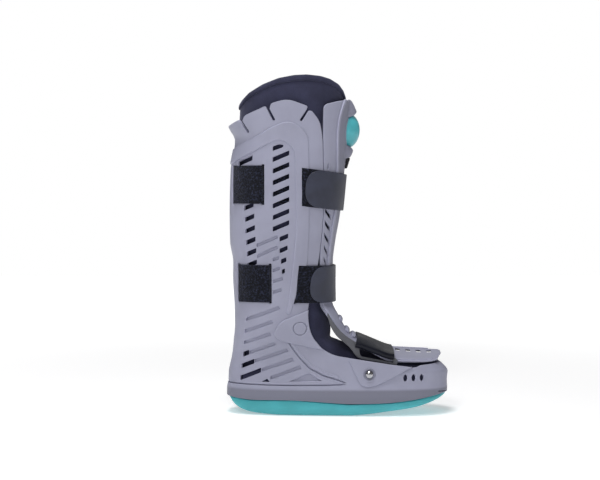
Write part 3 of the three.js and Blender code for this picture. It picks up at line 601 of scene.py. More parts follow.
def layer(name, surface, outer, holes, low, high, edge=0.7, steps=3, grid=5.0, mirror=True,
          swell=None, exact=True, in_pattern=False):
    """One moulded layer: side-view outlines laid on a surface from height low to high, with a
    rounded rim on top and a small chamfer underneath.

    edge is the round's radius in this many steps, and grid the space between the points
    inside. mirror adds the far half, swell changes the heights, exact gives the mesh its own
    normals, and in_pattern says that the outlines are flat patterns already."""
    def pattern(loop):
        return loop if in_pattern else surface.flat(loop)

    outers, cuts = [pattern(outer)], [pattern(hole) for hole in holes]
    if mirror:
        outers = both_sides(outers[0], surface.end)
        cuts = [part for cut in cuts for part in both_sides(cut, surface.end)]
    loops = [loop if area_of(loop) > 0 else loop[::-1] for loop in outers]
    loops += [loop if area_of(loop) < 0 else loop[::-1] for loop in cuts]
    chamfer = min(0.25, (high - low) / 3)
    rings = [(chamfer, low, -1.0), (0, low + chamfer, 0.0), (0, high - edge, 0.0)]
    for k in range(1, steps + 1):
        turn = math.pi / 2 * k / steps
        rings.append((edge * (1 - math.cos(turn)), high - edge + edge * math.sin(turn), math.sin(turn)))
    flat, ways, faces, rims, under = [], [], [], [], []
    count = 0
    for loop in loops:
        way, miter, seam = outward(loop, surface.end if mirror else None)
        line, size = numpy.asarray(loop), len(loop)
        for inset, height, lift in rings:
            spot = line - way * (inset * miter)[:, None]
            flat.append(numpy.column_stack([spot, numpy.full(size, height)]))
            level = math.sqrt(max(0, 1 - lift * lift))
            ways.append(numpy.column_stack([way * level, numpy.full(size, lift)]))
        for ring in range(len(rings) - 1):
            a, b = count + ring * size, count + (ring + 1) * size
            faces += [(a + k, a + (k + 1) % size, b + (k + 1) % size, b + k)
                      for k in range(size) if not seam[k]]
        under.append(range(count, count + size))
        rims.append(range(count + (len(rings) - 1) * size, count + len(rings) * size))
        count += len(rings) * size
    flat, ways = numpy.concatenate(flat), numpy.concatenate(ways)
    borders = [index for rim in rims for index in rim]
    bottoms = [index for rim in under for index in rim]
    rim_places = flat[borders, :2]
    lo, hi = rim_places.min(0), rim_places.max(0)
    shift = (lo + hi) / 2
    us, vs = (numpy.arange(math.floor((lo[k] - shift[k]) / grid),
                           math.ceil((hi[k] - shift[k]) / grid) + 1) * grid + shift[k]
              for k in (0, 1))
    cells = numpy.array([(u, v) for u in us for v in vs])
    near = numpy.full(len(cells), 1e9)
    for start in range(0, len(rim_places), 200):
        part = rim_places[start:start + 200]
        gap = numpy.linalg.norm(cells[:, None, :] - part[None, :, :], axis=2).min(axis=1)
        near = numpy.minimum(near, gap)
    cells = cells[near > grid * 0.42]
    if surface.end is not None and mirror:
        cells = cells[numpy.abs(cells[:, 0]) < surface.end - grid * 0.4]
    places = [Vector(p) for p in rim_places.tolist() + cells.tolist()]
    sides, start = [], 0
    for rim in rims:
        size = len(rim)
        sides += [(start + k, start + (k + 1) % size) for k in range(size)]
        start += size
    got = delaunay_2d_cdt(places, sides, [], 0, 1e-5)
    middles = [(got[0][a] + got[0][b] + got[0][c]) / 3 for a, b, c in got[2]]
    solid = inside_all(middles, rim_places, sides)
    source = [origin[0] if origin else None for origin in got[3]]
    top, low_cap = {}, {}
    extra, extra_ways = [], []
    for k, origin in enumerate(source):
        if origin is not None and origin < len(borders):
            top[k], low_cap[k] = borders[origin], bottoms[origin]
            continue
        spot = got[0][k]
        top[k] = count + len(extra)
        extra.append((spot.x, spot.y, high))
        extra_ways.append((0, 0, 1.0))
        low_cap[k] = count + len(extra)
        extra.append((spot.x, spot.y, low))
        extra_ways.append((0, 0, -1.0))
    for face, kept in zip(got[2], solid):
        if not kept:
            continue
        if area_of([got[0][k] for k in face]) < 0:
            face = face[::-1]
        faces.append([top[k] for k in face])
        faces.append([low_cap[k] for k in reversed(face)])
    if extra:
        flat = numpy.concatenate([flat, extra])
        ways = numpy.concatenate([ways, extra_ways])
    if surface.flow < 0:
        faces = [tuple(reversed(face)) for face in faces]
    # rims are lightened in the materials, partly for wear and partly as a painted highlight where they
    # catch the light
    rim_wear_and_highlight = numpy.clip(1 - ways[:, 2] ** 2, 0, 1) * (flat[:, 2] > high - edge * 1.01)
    if swell:
        flat[:, 2] = swell(flat[:, 0], flat[:, 1], flat[:, 2])
    laid, turned = surface.lay(flat, ways)
    return mesh_object(name, laid, faces, turned if exact and not swell else None, rim_wear_and_highlight,
                       weld=0.05 if surface.end is not None and mirror else 0)


def sweep(name, columns, closed=True, caps=False):
    """A skin over rings of places in millimetres, one after the other.

    closed joins the last ring to the first, and caps fills the first and the last."""
    size = len(columns[0])
    count = len(columns)
    faces = []
    for k in range(count if closed else count - 1):
        a, b = k * size, ((k + 1) % count) * size
        faces += [(a + n, b + n, b + (n + 1) % size, a + (n + 1) % size) for n in range(size)]
    if caps:
        faces += [tuple(range(size)), tuple(reversed(range((count - 1) * size, count * size)))]
    obj = mesh_object(name, numpy.concatenate(columns), faces)
    outward_faces(obj)
    return obj


def outward_faces(obj, weld=0.0):
    """Turn all faces outward, with points closer than weld joined first."""
    work = bmesh.new()
    work.from_mesh(obj.data)
    if weld:
        bmesh.ops.remove_doubles(work, verts=work.verts[:], dist=weld)
    bmesh.ops.recalc_face_normals(work, faces=work.faces[:])
    work.to_mesh(obj.data)
    work.free()


def sharp_by_angle(obj, degrees):
    """Shade smooth, but for edges sharper than an angle."""
    only(obj)
    bpy.ops.object.shade_smooth_by_angle(angle=math.radians(degrees), keep_sharp_edges=True)


def apply_all(obj):
    """Apply every modifier."""
    only(obj)
    for modifier in list(obj.modifiers):
        bpy.ops.object.modifier_apply(modifier=modifier.name)


def settle(obj):
    """Put an object's turn, place and scale into its mesh."""
    only(obj)
    bpy.ops.object.transform_apply(location=True, rotation=True, scale=True)


def dress(obj, material, body, *nodes):
    """Give a piece its material, its body and the CAD nodes that it stands for."""
    obj.data.materials.clear()
    obj.data.materials.append(material)
    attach(obj, body)
    if nodes:
        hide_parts(*nodes)
    return obj


def mirrored_copy(obj, name):
    """The same piece on the far side, with its own mesh and mirrored normals."""
    source = obj.data
    mesh = bpy.data.meshes.new(name)
    places = [(v.co.x, -v.co.y, v.co.z) for v in source.vertices]
    faces = [tuple(reversed(p.vertices)) for p in source.polygons]
    mesh.from_pydata(places, [], faces)
    mesh.polygons.foreach_set("use_smooth", [True] * len(mesh.polygons))
    if "edge" in source.attributes:
        rim_wear_and_highlight = [item.value for item in source.attributes["edge"].data]
        mesh.attributes.new("edge", "FLOAT", "POINT").data.foreach_set("value", rim_wear_and_highlight)
    ways = []
    for polygon in source.polygons:
        for corner in reversed(polygon.loop_indices):
            way = source.corner_normals[corner].vector
            ways.append((way.x, -way.y, way.z))
    mesh.normals_split_custom_set(ways)
    far = bpy.data.objects.new(name, mesh)
    bpy.context.scene.collection.objects.link(far)
    return far


# ---------------------------------------------------------------- materials
class Wire:
    """A value in a material, which takes part in arithmetic."""

    def __init__(self, shade, socket):
        self.shade, self.socket = shade, socket

    def _maths(self, kind, a, b):
        """A maths node of one kind."""
        made = self.shade.node("ShaderNodeMath", {"operation": kind}, {0: a, 1: b})
        return Wire(self.shade, made.outputs[0])

    def __add__(self, other):
        return self._maths("ADD", self, other)

    def __sub__(self, other):
        return self._maths("SUBTRACT", self, other)

    def __rsub__(self, other):
        return self._maths("SUBTRACT", other, self)

    def __mul__(self, other):
        return self._maths("MULTIPLY", self, other)

    def __pow__(self, other):
        return self._maths("POWER", self, other)

    def wave(self):
        """Its sine."""
        return self._maths("SINE", self, 0.0)

    __radd__, __rmul__ = __add__, __mul__


class Shade:
    """Builds one material from nodes."""

    def __init__(self, name):
        self.material = bpy.data.materials.new(name)
        self.material.use_nodes = True
        self.tree = self.material.node_tree
        self.tree.nodes.clear()
        self.place = Wire(self, self.node("ShaderNodeTexCoord").outputs["Object"])
        parts = self.node("ShaderNodeSeparateXYZ", {}, {0: self.place})
        self.x, self.y, self.z = (Wire(self, parts.outputs[k]) for k in range(3))

    def node(self, kind, settings=None, values=None):
        """Any node, with its settings and with values or wires for its sockets."""
        made = self.tree.nodes.new(kind)
        for key, value in (settings or {}).items():
            setattr(made, key, value)
        for key, value in (values or {}).items():
            socket = made.inputs[key] if isinstance(key, int) else next(
                s for s in made.inputs if key in (s.identifier, s.name))
            if isinstance(value, Wire):
                self.tree.links.new(value.socket, socket)
            else:
                socket.default_value = value
        return made

    def noise(self, scale, detail, rough, stretch=None):
        """Soft noise, with its features drawn out where a stretch factor is below 1."""
        where = self.place
        if stretch:
            mapped = self.node("ShaderNodeMapping", {}, {0: where, "Scale": stretch})
            where = Wire(self, mapped.outputs[0])
        made = self.node("ShaderNodeTexNoise", {}, {
            "Vector": where, "Scale": scale, "Detail": detail, "Roughness": rough})
        return Wire(self, made.outputs[0])

    def cells(self, scale):
        """Distance from the middle of round cells."""
        made = self.node("ShaderNodeTexVoronoi", {"feature": "F1"}, {
            "Vector": self.place, "Scale": scale})
        return Wire(self, made.outputs[0])

    def between(self, value, low, high, to_low=0.0, to_high=1.0):
        """A soft ramp over a range of a value."""
        made = self.node("ShaderNodeMapRange", {"interpolation_type": "SMOOTHSTEP"}, {
            0: value, 1: low, 2: high, 3: to_low, 4: to_high})
        return Wire(self, made.outputs[0])

    def attribute(self, name):
        """A value stored on the mesh's points."""
        return Wire(self, self.node("ShaderNodeAttribute", {"attribute_name": name}).outputs["Fac"])

    def mix(self, a, b, factor):
        """Two colours mixed."""
        a = a if isinstance(a, Wire) else (*a[:3], 1)
        b = b if isinstance(b, Wire) else (*b[:3], 1)
        made = self.node("ShaderNodeMix", {"data_type": "RGBA"}, {
            "Factor_Float": factor, "A_Color": a, "B_Color": b})
        return Wire(self, next(s for s in made.outputs if s.identifier == "Result_Color"))

    def bump(self, height, strength, distance, under=None):
        """A bumped normal, over another one if it is given."""
        values = {"Height": height, "Strength": strength, "Distance": distance}
        if under:
            values["Normal"] = under
        return Wire(self, self.node("ShaderNodeBump", {}, values).outputs[0])

    def finish(self, colour, rough, normal=None, **fixed):
        """End the material with its main shader; the fixed values are the same all over."""
        values = {"Base Color": colour, "Roughness": rough}
        if normal:
            values["Normal"] = normal
        values.update({key.replace("_", " "): value for key, value in fixed.items()})
        made = self.node("ShaderNodeBsdfPrincipled", {}, values)
        out = self.node("ShaderNodeOutputMaterial")
        self.tree.links.new(made.outputs[0], out.inputs[0])
        return self.material


def tone(colour, factor):
    """A colour made lighter or darker."""
    return [min(1.0, value * factor) for value in colour[:3]]


def moulded_plastic(name, colour, band=None, grain=1.0, rough=0.46):
    """Satin moulded plastic with a spark-eroded grain and flow marks, rims lightened for wear and as a
    painted highlight, and, where a band is given, painted shade over the base band.
    """
    shade = Shade(name)
    cloud = shade.noise(14, 4, 0.55)
    flow = shade.noise(60, 3, 0.6, stretch=(1, 1, 0.22))
    fine = shade.noise(2600, 2, 0.6)
    pits = shade.noise(900, 3, 0.6)
    body = shade.mix(tone(colour, 0.93), tone(colour, 1.06), shade.between(cloud, 0.3, 0.7))
    body = shade.mix(body, tone(colour, 0.9), shade.between(flow, 0.45, 0.8) * 0.35)
    # painted shade: below the groove line the band slopes inward and faces down, so it takes the darker
    # band colour, and it gets darker still towards the bottom
    if band is not None:
        edge = shade.z + (shade.x * shade.x) * -0.02
        body = shade.mix(body, band, shade.between(edge, 0.0355, 0.0315))
        body = shade.mix(body, tone(band, 0.86), shade.between(shade.z, 0.028, 0.019) * 0.6)
    scuff = shade.between(shade.noise(420, 4, 0.7, stretch=(0.25, 1, 1)), 0.62, 0.72) * 0.25
    body = shade.mix(body, tone(colour, 1.18), scuff)
    # rims lightened: partly wear, partly a painted highlight
    body = shade.mix(body, tone(colour, 1.4), shade.attribute("edge") * 0.6)
    speck = shade.between(shade.noise(1500, 2, 0.5), 0.66, 0.74) * 0.25
    body = shade.mix(body, tone(colour, 0.78), speck)
    height = fine * 0.5 + pits * 0.5
    normal = shade.bump(height, 0.16 * grain, 0.00012)
    normal = shade.bump(cloud, 0.05, 0.002, normal)
    gloss = shade.between(pits, 0.3, 0.7, rough - 0.04, rough + 0.08) - scuff * 0.2
    return shade.finish(body, gloss, normal, Specular_IOR_Level=0.45)


def sole_rubber(name, colour):
    """Teal rubber, darker toward the ground edge, with a fine grain and floor scuffs."""
    shade = Shade(name)
    cloud = shade.noise(22, 4, 0.55)
    scuff = shade.noise(260, 5, 0.65, stretch=(0.35, 1, 1.6))
    low = shade.between(shade.z, 0.0, 0.012)
    body = shade.mix(tone(colour, 0.9), tone(colour, 1.1), shade.between(cloud, 0.3, 0.7))
    body = shade.mix(tone(colour, 0.82), body, low)
    body = shade.mix(body, tone(colour, 1.35), shade.between(scuff, 0.6, 0.75) * 0.18)
    dirt = shade.between(shade.noise(700, 3, 0.6), 0.64, 0.75) * 0.22
    body = shade.mix(body, tone(colour, 0.6), dirt)
    height = shade.noise(1900, 3, 0.6) * 0.6 + scuff * 0.4
    return shade.finish(body, shade.between(scuff, 0.3, 0.7, 0.4, 0.55),
                        shade.bump(height, 0.2, 0.0002), Specular_IOR_Level=0.5)


def bulb_rubber(name, colour):
    """Smooth satin rubber with a faint mould blush and a painted shade over its lower part."""
    shade = Shade(name)
    cloud = shade.noise(45, 4, 0.5)
    body = shade.mix(tone(colour, 0.88), tone(colour, 1.12), shade.between(cloud, 0.3, 0.7))
    # painted shade: the bulb's lower part is darkened
    body = shade.mix(tone(colour, 0.75), body, shade.between(shade.z, 0.344, 0.362))
    dust = shade.between(shade.noise(1400, 3, 0.6), 0.62, 0.72) * 0.16
    body = shade.mix(body, tone(colour, 1.5), dust)
    normal = shade.bump(shade.noise(1700, 3, 0.6), 0.12, 0.0001)
    return shade.finish(body, shade.between(cloud, 0.3, 0.7, 0.33, 0.42), normal,
                        Specular_IOR_Level=0.5)


def knitted(name, colour, scale=1.0, sheen=0.35):
    """Brushed knit over foam: a fine rib, lint and slow shifts of tone."""
    shade = Shade(name)
    cloud = shade.noise(26, 5, 0.6)
    nap = shade.noise(900, 5, 0.72)
    rib = shade.noise(1500 * scale, 1, 0.4, stretch=(1, 1, 0.35))
    body = shade.mix(tone(colour, 0.78), tone(colour, 1.2), shade.between(cloud, 0.28, 0.72))
    body = shade.mix(body, tone(colour, 0.55), shade.between(nap, 0.5, 0.72) * 0.5)
    body = shade.mix(body, tone(colour, 1.8), shade.between(nap, 0.42, 0.28) * 0.4)
    lint = shade.between(shade.noise(420, 6, 0.8), 0.68, 0.74) * 0.35
    body = shade.mix(body, tone(colour, 2.6), lint)
    normal = shade.bump(rib * 0.5 + nap * 0.5, 0.35, 0.0004)
    normal = shade.bump(cloud, 0.12, 0.003, normal)
    return shade.finish(body, 0.92, normal, Sheen_Weight=sheen, Sheen_Roughness=0.45,
                        Sheen_Tint=(0.62, 0.62, 0.8, 1), Specular_IOR_Level=0.25)


def looped(name, colour):
    """Black loop pile: tangled threads with light tips and dull gaps."""
    shade = Shade(name)
    clumps = shade.noise(470, 2, 0.5)
    tangle = clumps * 0.6 + shade.noise(1100, 4, 0.7) * 0.4
    loops = shade.cells(1250)
    cloud = shade.noise(70, 4, 0.6)
    body = shade.mix(tone(colour, 0.35), tone(colour, 1.5), shade.between(tangle, 0.4, 0.6))
    body = shade.mix(body, tone(colour, 6.5), shade.between(clumps, 0.5, 0.68) * 0.75)
    body = shade.mix(body, tone(colour, 0.8), shade.between(cloud, 0.4, 0.75) * 0.5)
    height = tangle * 0.85 + loops * 0.15
    return shade.finish(body, 0.97, shade.bump(height, 1.0, 0.0022), Sheen_Weight=0.2,
                        Sheen_Roughness=0.5, Sheen_Tint=(0.6, 0.62, 0.75, 1), Specular_IOR_Level=0.18)


def coated_webbing(name, colour, rough=0.5, weave=0.25, gloss=0.4, sheen=0.1):
    """Tight woven tape with a smooth coat: a faint weave, creases, and rims lightened for rub wear and
    as a painted highlight.
    """
    shade = Shade(name)
    cloud = shade.noise(38, 4, 0.6)
    pitch = 5200.0  # radians a metre: a thread every 1.2 mm
    warp = (shade.z * pitch).wave() * 0.5 + 0.5
    weft = ((shade.x + shade.y) * pitch).wave() * 0.5 + 0.5
    body = shade.mix(tone(colour, 0.82), tone(colour, 1.22), shade.between(cloud, 0.3, 0.7))
    # rims lightened: partly rub wear, partly a painted highlight
    body = shade.mix(body, tone(colour, 1.9), shade.attribute("edge") * 0.35)
    body = shade.mix(body, tone(colour, 0.7), (warp * weft) * 0.25)
    lint = shade.between(shade.noise(600, 6, 0.8), 0.67, 0.74) * 0.25
    body = shade.mix(body, tone(colour, 2.4), lint)
    normal = shade.bump(warp * weft, weave, 0.00015)
    normal = shade.bump(shade.noise(120, 4, 0.6), 0.14, 0.001, normal)
    return shade.finish(body, shade.between(cloud, 0.3, 0.7, rough - 0.05, rough + 0.1), normal,
                        Sheen_Weight=sheen, Sheen_Roughness=0.4, Specular_IOR_Level=gloss)


def gloss_black(name):
    """Black gloss plastic with a cloudy film, and rims lightened for wear and as a painted highlight.
    """
    shade = Shade(name)
    cloud = shade.noise(300, 4, 0.6)
    body = shade.mix((0.008, 0.008, 0.01), (0.02, 0.02, 0.024), shade.between(cloud, 0.4, 0.7))
    # rims lightened: partly wear, partly a painted highlight
    body = shade.mix(body, (0.12, 0.12, 0.13), shade.attribute("edge") * 0.25)
    return shade.finish(body, shade.between(cloud, 0.3, 0.7, 0.2, 0.32),
                        shade.bump(cloud, 0.05, 0.0004), Specular_IOR_Level=0.5)


def polished_steel(name):
    """Pressed steel with fine polishing lines and small dull specks."""
    shade = Shade(name)
    lines = shade.noise(900, 4, 0.7, stretch=(1, 1, 0.12))
    speck = shade.between(shade.noise(1200, 3, 0.6), 0.6, 0.72)
    body = shade.mix((0.36, 0.36, 0.38), (0.5, 0.5, 0.52), shade.between(lines, 0.3, 0.7))
    body = shade.mix(body, (0.38, 0.37, 0.36), speck * 0.3)
    return shade.finish(body, shade.between(lines, 0.3, 0.7, 0.14, 0.26) + speck * 0.15,
                        shade.bump(lines, 0.06, 0.0002), Metallic=1.0)


def pale_floor(name):
    """A pale floor that fades into the white ground away from the boot."""
    shade = Shade(name)
    cloud = shade.noise(1.2, 2, 0.5)
    body = shade.mix((0.86, 0.86, 0.865), (0.9, 0.9, 0.905), cloud)
    far = shade.between((shade.x * shade.x + shade.y * shade.y) ** 0.5, 0.35, 1.9)
    glow = shade.mix((0.36, 0.36, 0.36), (0.95, 0.95, 0.95), far)
    return shade.finish(body, 0.8, None, Specular_IOR_Level=0.2,
                        Emission_Color=glow, Emission_Strength=1.0)


MATERIALS = {}


def finishes():
    """All materials, made once from the colours in the sidebar."""
    if MATERIALS:
        return MATERIALS
    c = bpy.context.scene.boot_colours
    MATERIALS.update(
        shell=moulded_plastic("shell_plastic", c.shell, band=list(c.band)),
        # in the recesses the base band is darkened further, as painted shade
        recess=moulded_plastic("recess_plastic", tone(c.shell, 1.02), band=tone(c.band, 0.6),
                               rough=0.6),
        panel=moulded_plastic("panel_plastic", c.shell),
        # painted shade: a darker copy of the shell plastic, for the front face and pump housing turned
        # away from the light, and for the rivet rings
        face=moulded_plastic("panel_face_shaded_plastic", tone(c.shell, 0.72), rough=0.52),
        flange=moulded_plastic("flange_plastic", c.flange, grain=2.0, rough=0.62),
        sole=sole_rubber("sole_rubber", c.sole),
        bulb=bulb_rubber("bulb_rubber", c.bulb),
        liner=knitted("liner_knit", c.liner),
        binding=knitted("liner_binding_knit", tone(c.liner, 0.95), scale=1.6, sheen=0.25),
        strap=looped("strap_loop_pile", c.strap),
        tab=coated_webbing("strap_tab_coat", c.tab, rough=0.42),
        foot_strap=coated_webbing("foot_strap_webbing", tone(c.strap, 1.25), rough=0.34,
                                  weave=0.3, gloss=0.2, sheen=0.0),
        valve=gloss_black("valve_gloss"),
        steel=polished_steel("rivet_steel"),
        floor=pale_floor("studio_floor"),
    )
    return MATERIALS


# ---------------------------------------------------------------- rear shell
SLIT_HALF = 1.5  # half width of the slits between the petals
PITCH = 14.6  # height from one slanted slot to the next
SLOT_REACH = 25.6  # how far a strap slot reaches above and below its strap's middle
SLOT_HALF = 1.7
BOSS_EXTRA = 0.5  # how much farther the strap bosses stand out than the sidebar's size
LOWER_LEAN = 4.5  # how far the lower strap's front slot leans at its foot


def spots(rows):
    """Corners in millimetres of rows with a share of the sole, a level and a corner round."""
    return [(along(row[0]), up(row[1]), row[2]) for row in rows]


def shell_outline():
    """Side outline of the shell, with the slits between its petals."""
    corners = []
    for x, level, extra in SHELL_TOP:
        if not isinstance(extra, tuple):
            corners.append((along(x), up(level), extra))
            continue
        top = Vector((along(x), up(level)))
        foot = Vector((along(extra[0]), up(extra[1])))
        run = (foot - top).normalized()
        side = Vector((run.y, -run.x)) * SLIT_HALF
        side = side if side.x < 0 else -side
        corners += [(*(top + side), 0.8), (*(foot + side), 1.3),
                    (*(foot - side), 1.3), (*(top - side), 0.8)]
    return dense(rounded(spots(SPLIT) + corners[::-1]))


def through_slots():
    """Openings of the shell: the front row, the rear row and those at the heel."""
    slots = [slant(-34.3, up(1.815) - 0.2 - k * PITCH, 20.8) for k in range(1, 8)]
    slots += [slant(-25.6, 225.7, 10.8), slant(-25.6, 210.9, 10.0), slant(-23.9, 197.4, 6.7),
              slant(-22.7, 184.3, 3.6)]
    slots.append(rounded([(-34.3, 337.0, 1.2), (-21.6, 341.4, 2.2), (-20.4, 344.4, 2.2),
                          (-26.5, 345.6, 2.5), (-34.3, 342.8, 1.2)]))
    slots += [slant(-71.0 + k * 0.8, up(1.579) - 0.4 - k * PITCH, 12.2) for k in range(6)]
    slots += [slant(-79.2, 320.8, 19.0, 6.4), slant(-73.4, 77.0, 8.0),
              slant(-75.4, 62.2, 16.8), slant(-77.0, 46.8, 27.0)]
    slots.append(rounded([(-49, 43.2, 0.5), (-38.6, 43.2, 0.5), (-42.2, 47.4, 0.8)], arc=3))
    return slots


# Each strap's middle height, its three slots, its tab's end, how fast it falls in front of
# the leg's middle, and where that is.
STRAPS = {
    "upper": {"z": up(1.671), "slots": (along(-0.296), along(-0.1635), along(0.004)),
              "tab": along(0.024), "fall": 0.13, "middle": -19.0},
    "lower": {"z": up(1.279), "slots": (along(-0.274), along(-0.132), along(-0.01)),
              "tab": along(0.042), "fall": 0.03, "middle": -22.5},
}


def strap_slots():
    """Upright slots that the calf straps pass through."""
    slots = []
    for name, strap in STRAPS.items():
        for x in strap["slots"]:
            top = strap["z"] + SLOT_REACH
            low = strap["z"] - SLOT_REACH - strap["fall"] * max(0, x - strap["middle"])
            lean = LOWER_LEAN if name == "lower" and x == strap["slots"][2] else 0.0
            slots.append(rounded([
                (x - SLOT_HALF - lean, low, 1.4), (x + SLOT_HALF - lean, low, 1.4),
                (x + SLOT_HALF, top, 1.4), (x - SLOT_HALF, top, 1.4)], arc=3))
    return slots


def blind_grooves():
    """Shallow grooves, each from its upper edge's two ends."""
    tall = 4.4
    rows = [
        (-69, 125, -27, 141), (-71, 109.5, -36, 123), (-72, 95, -38.5, 107.5),
        (-64.5, 82.6, -32.6, 95.2),
        (-57.5, 71.8, -17, 87), (-49, 60.4, -9.5, 75), (-37.5, 50.6, -0.3, 65),
        (-54.5, 220.3, -28.6, 231.3), (-54, 206.3, -28.6, 218.4),
        (-34, 202.3, -27, 205), (-34, 188.5, -25.5, 191.8), (-34, 174.5, -22, 178.5),
        (-34, 160.5, -24, 164),
    ]
    grooves = []
    for x0, z0, x1, z1 in rows:
        lean = 1.8 if z0 < 130 else 0.6
        grooves.append(rounded([(x0, z0 - tall, 0.7), (x1 + lean, z1 - tall, 0.7),
                                (x1, z1, 1.2), (x0, z0, 0.7)], arc=3))
    grooves.append(rounded([(-13.5, 43.9, 1.2), (28, 45.4, 1.6), (11, 55.2, 2.2)], arc=4))
    return grooves


BASE_LINE = [(-104, 39.8), (-90, 40.0), (-60, 39.6), (-20, 39.4), (30, 40.0), (52, 40.8),
             (57.5, 42.0)]
TOE_LINE = [(178, 30.6), (187.4, 29.6)]
WING_LINE = [(57.5, 43.0), (45, 47.6), (29, 52.4), (12, 61.4), (1.4, 72.4), (-6, 81.4),
             (-12, 90.4), (-15.5, 97)]
RIDGE_LINE = [
    (-118, 326), (-79.5, 343, 14), (-52, 358, 20), (-34, 368, 20), (-14, 375.5, 22), (10.5, 361, 22),
    (11.5, 320, 30), (11.5, 240, 30), (9.5, 197, 10),
]
RECESS_LINE = [
    (-118, 305), (-81.5, 325, 14), (-58, 337, 20), (-26, 353.5, 18), (-7.5, 341, 18),
    (-5, 300, 30),
    (-4.5, 235, 30), (-9.7, 184, 20), (-14.7, 146, 10), (-17, 131, 5),
]


def shell_band():
    """Outline of the raised band between the petals and the slotted field."""
    outer = rounded([(*p, 0) if len(p) == 2 else p for p in RIDGE_LINE], closed=False)
    inner = rounded([(*p, 0) if len(p) == 2 else p for p in RECESS_LINE], closed=False)
    return dense(outer + [(4, 176), (-6, 150), (-12, 131)] + inner[::-1])


def ankle_panel(border):
    """Outline of the raised panel over the ankle, up to the shell's front edge."""
    corners = [(57, 153.8, 0), (-26, 120.6, 10), (-34.5, 103, 10), (-24, 95.8, 9), (57, 79.4, 0)]
    return trimmed(dense(rounded(corners)), border)


def strap_boss(border):
    """Outline of the raised boss that the foot strap's flange is riveted to."""
    corners = [(61.5, 78, 0), (61.5, 73, 0), (78, 37.6, 10), (95, 38.6, 9), (143, 62.2, 0),
               (143, 78, 0)]
    return trimmed(dense(rounded(corners)), border)


def toe_holes():
    """Three upright ovals beside the toes."""
    turns = [k * math.pi / 9 for k in range(18)]
    return [[(134.1 + 10.6 * n + 2.5 * math.cos(a), 48.96 + 4.5 * math.sin(a)) for a in turns]
            for n in range(3)]


def pivot_circle():
    """Thin round line on the ankle panel, nearly closed."""
    return ribbon([(-0.3 + 8.3 * math.cos(a), 112 + 8.3 * math.sin(a))
                   for a in numpy.linspace(0.15, 2 * math.pi, 40)], 0.22)


class BOOT_OT_rear_shell(bpy.types.Operator):
    """Mould the rear shell in layers: wall, outer skin with its grooves, bands and bosses"""
    bl_idname = "boot.rear_shell"
    bl_label = "Rear shell"

    def execute(self, context):
        sizes, look = context.scene.boot_sizes, finishes()
        wall = Wall(FOOT + LEG[:8] + PETALS, 8, 412, start="toe")
        wall_depth, recess = sizes.wall / MM, sizes.recess / MM
        edge, raised = sizes.edge / MM, sizes.raised / MM
        border = shell_outline()
        slots = [dense(slot, 1.5) for slot in through_slots() + strap_slots() + toe_holes()]
        inner = layer("shell_wall", wall, border, slots, -wall_depth, -recess,
                      edge=0.3, steps=1, grid=7)
        grooves = [dense(groove, 2.0) for groove in blind_grooves()]
        lines = [ribbon(BASE_LINE, 0.75), ribbon(WING_LINE, 0.7), ribbon(TOE_LINE, 0.7)]
        skin = layer("shell_skin", wall, border, slots + grooves + lines, -recess - 0.15, 0,
                     edge=edge, grid=5)
        band = layer("shell_band", wall, shell_band(), [], -0.5, 1.6, edge=1.5, steps=4, grid=6)
        ankle = layer("shell_ankle_panel", wall, ankle_panel(border), [pivot_circle()],
                      -0.6, raised + 0.9, edge=1.3, steps=4, grid=5)
        boss = layer("shell_strap_boss", wall, strap_boss(border), [], -0.6, raised + BOSS_EXTRA,
                     edge=1.0, steps=4, grid=5)
        beside = ribbon([(x + 2.6, z + 2.4) for x, z in WING_LINE[1:]], 1.7)
        rib = layer("shell_wing_rib", wall, beside, [], -0.4, 1.0, edge=0.95, steps=4, grid=5)
        for piece in (inner, skin, band, ankle, boss, rib):
            dress(piece, look["recess" if piece is inner else "shell"], "boot", "rear_shell")
        return {"FINISHED"}


# ---------------------------------------------------------------- outsole
def rocker(x):
    """Height of the sole's underside."""
    knots = [-93, -88, -83, -76, -64, -42, -26, 62, 81, 111, 148, 166, 180, 188]
    rises = [20.5, 11.5, 8.2, 5.2, 2.6, 0.7, 0, 0, 1.2, 5.0, 10.0, 14.4, 19.2, 22.8]
    return eased(knots, rises, x)


def split(x):
    """Height of the sole's upper edge, a little under the shell."""
    line = spots(SPLIT)
    return numpy.interp(x, [p[0] for p in line], [p[1] for p in line]) - 0.4


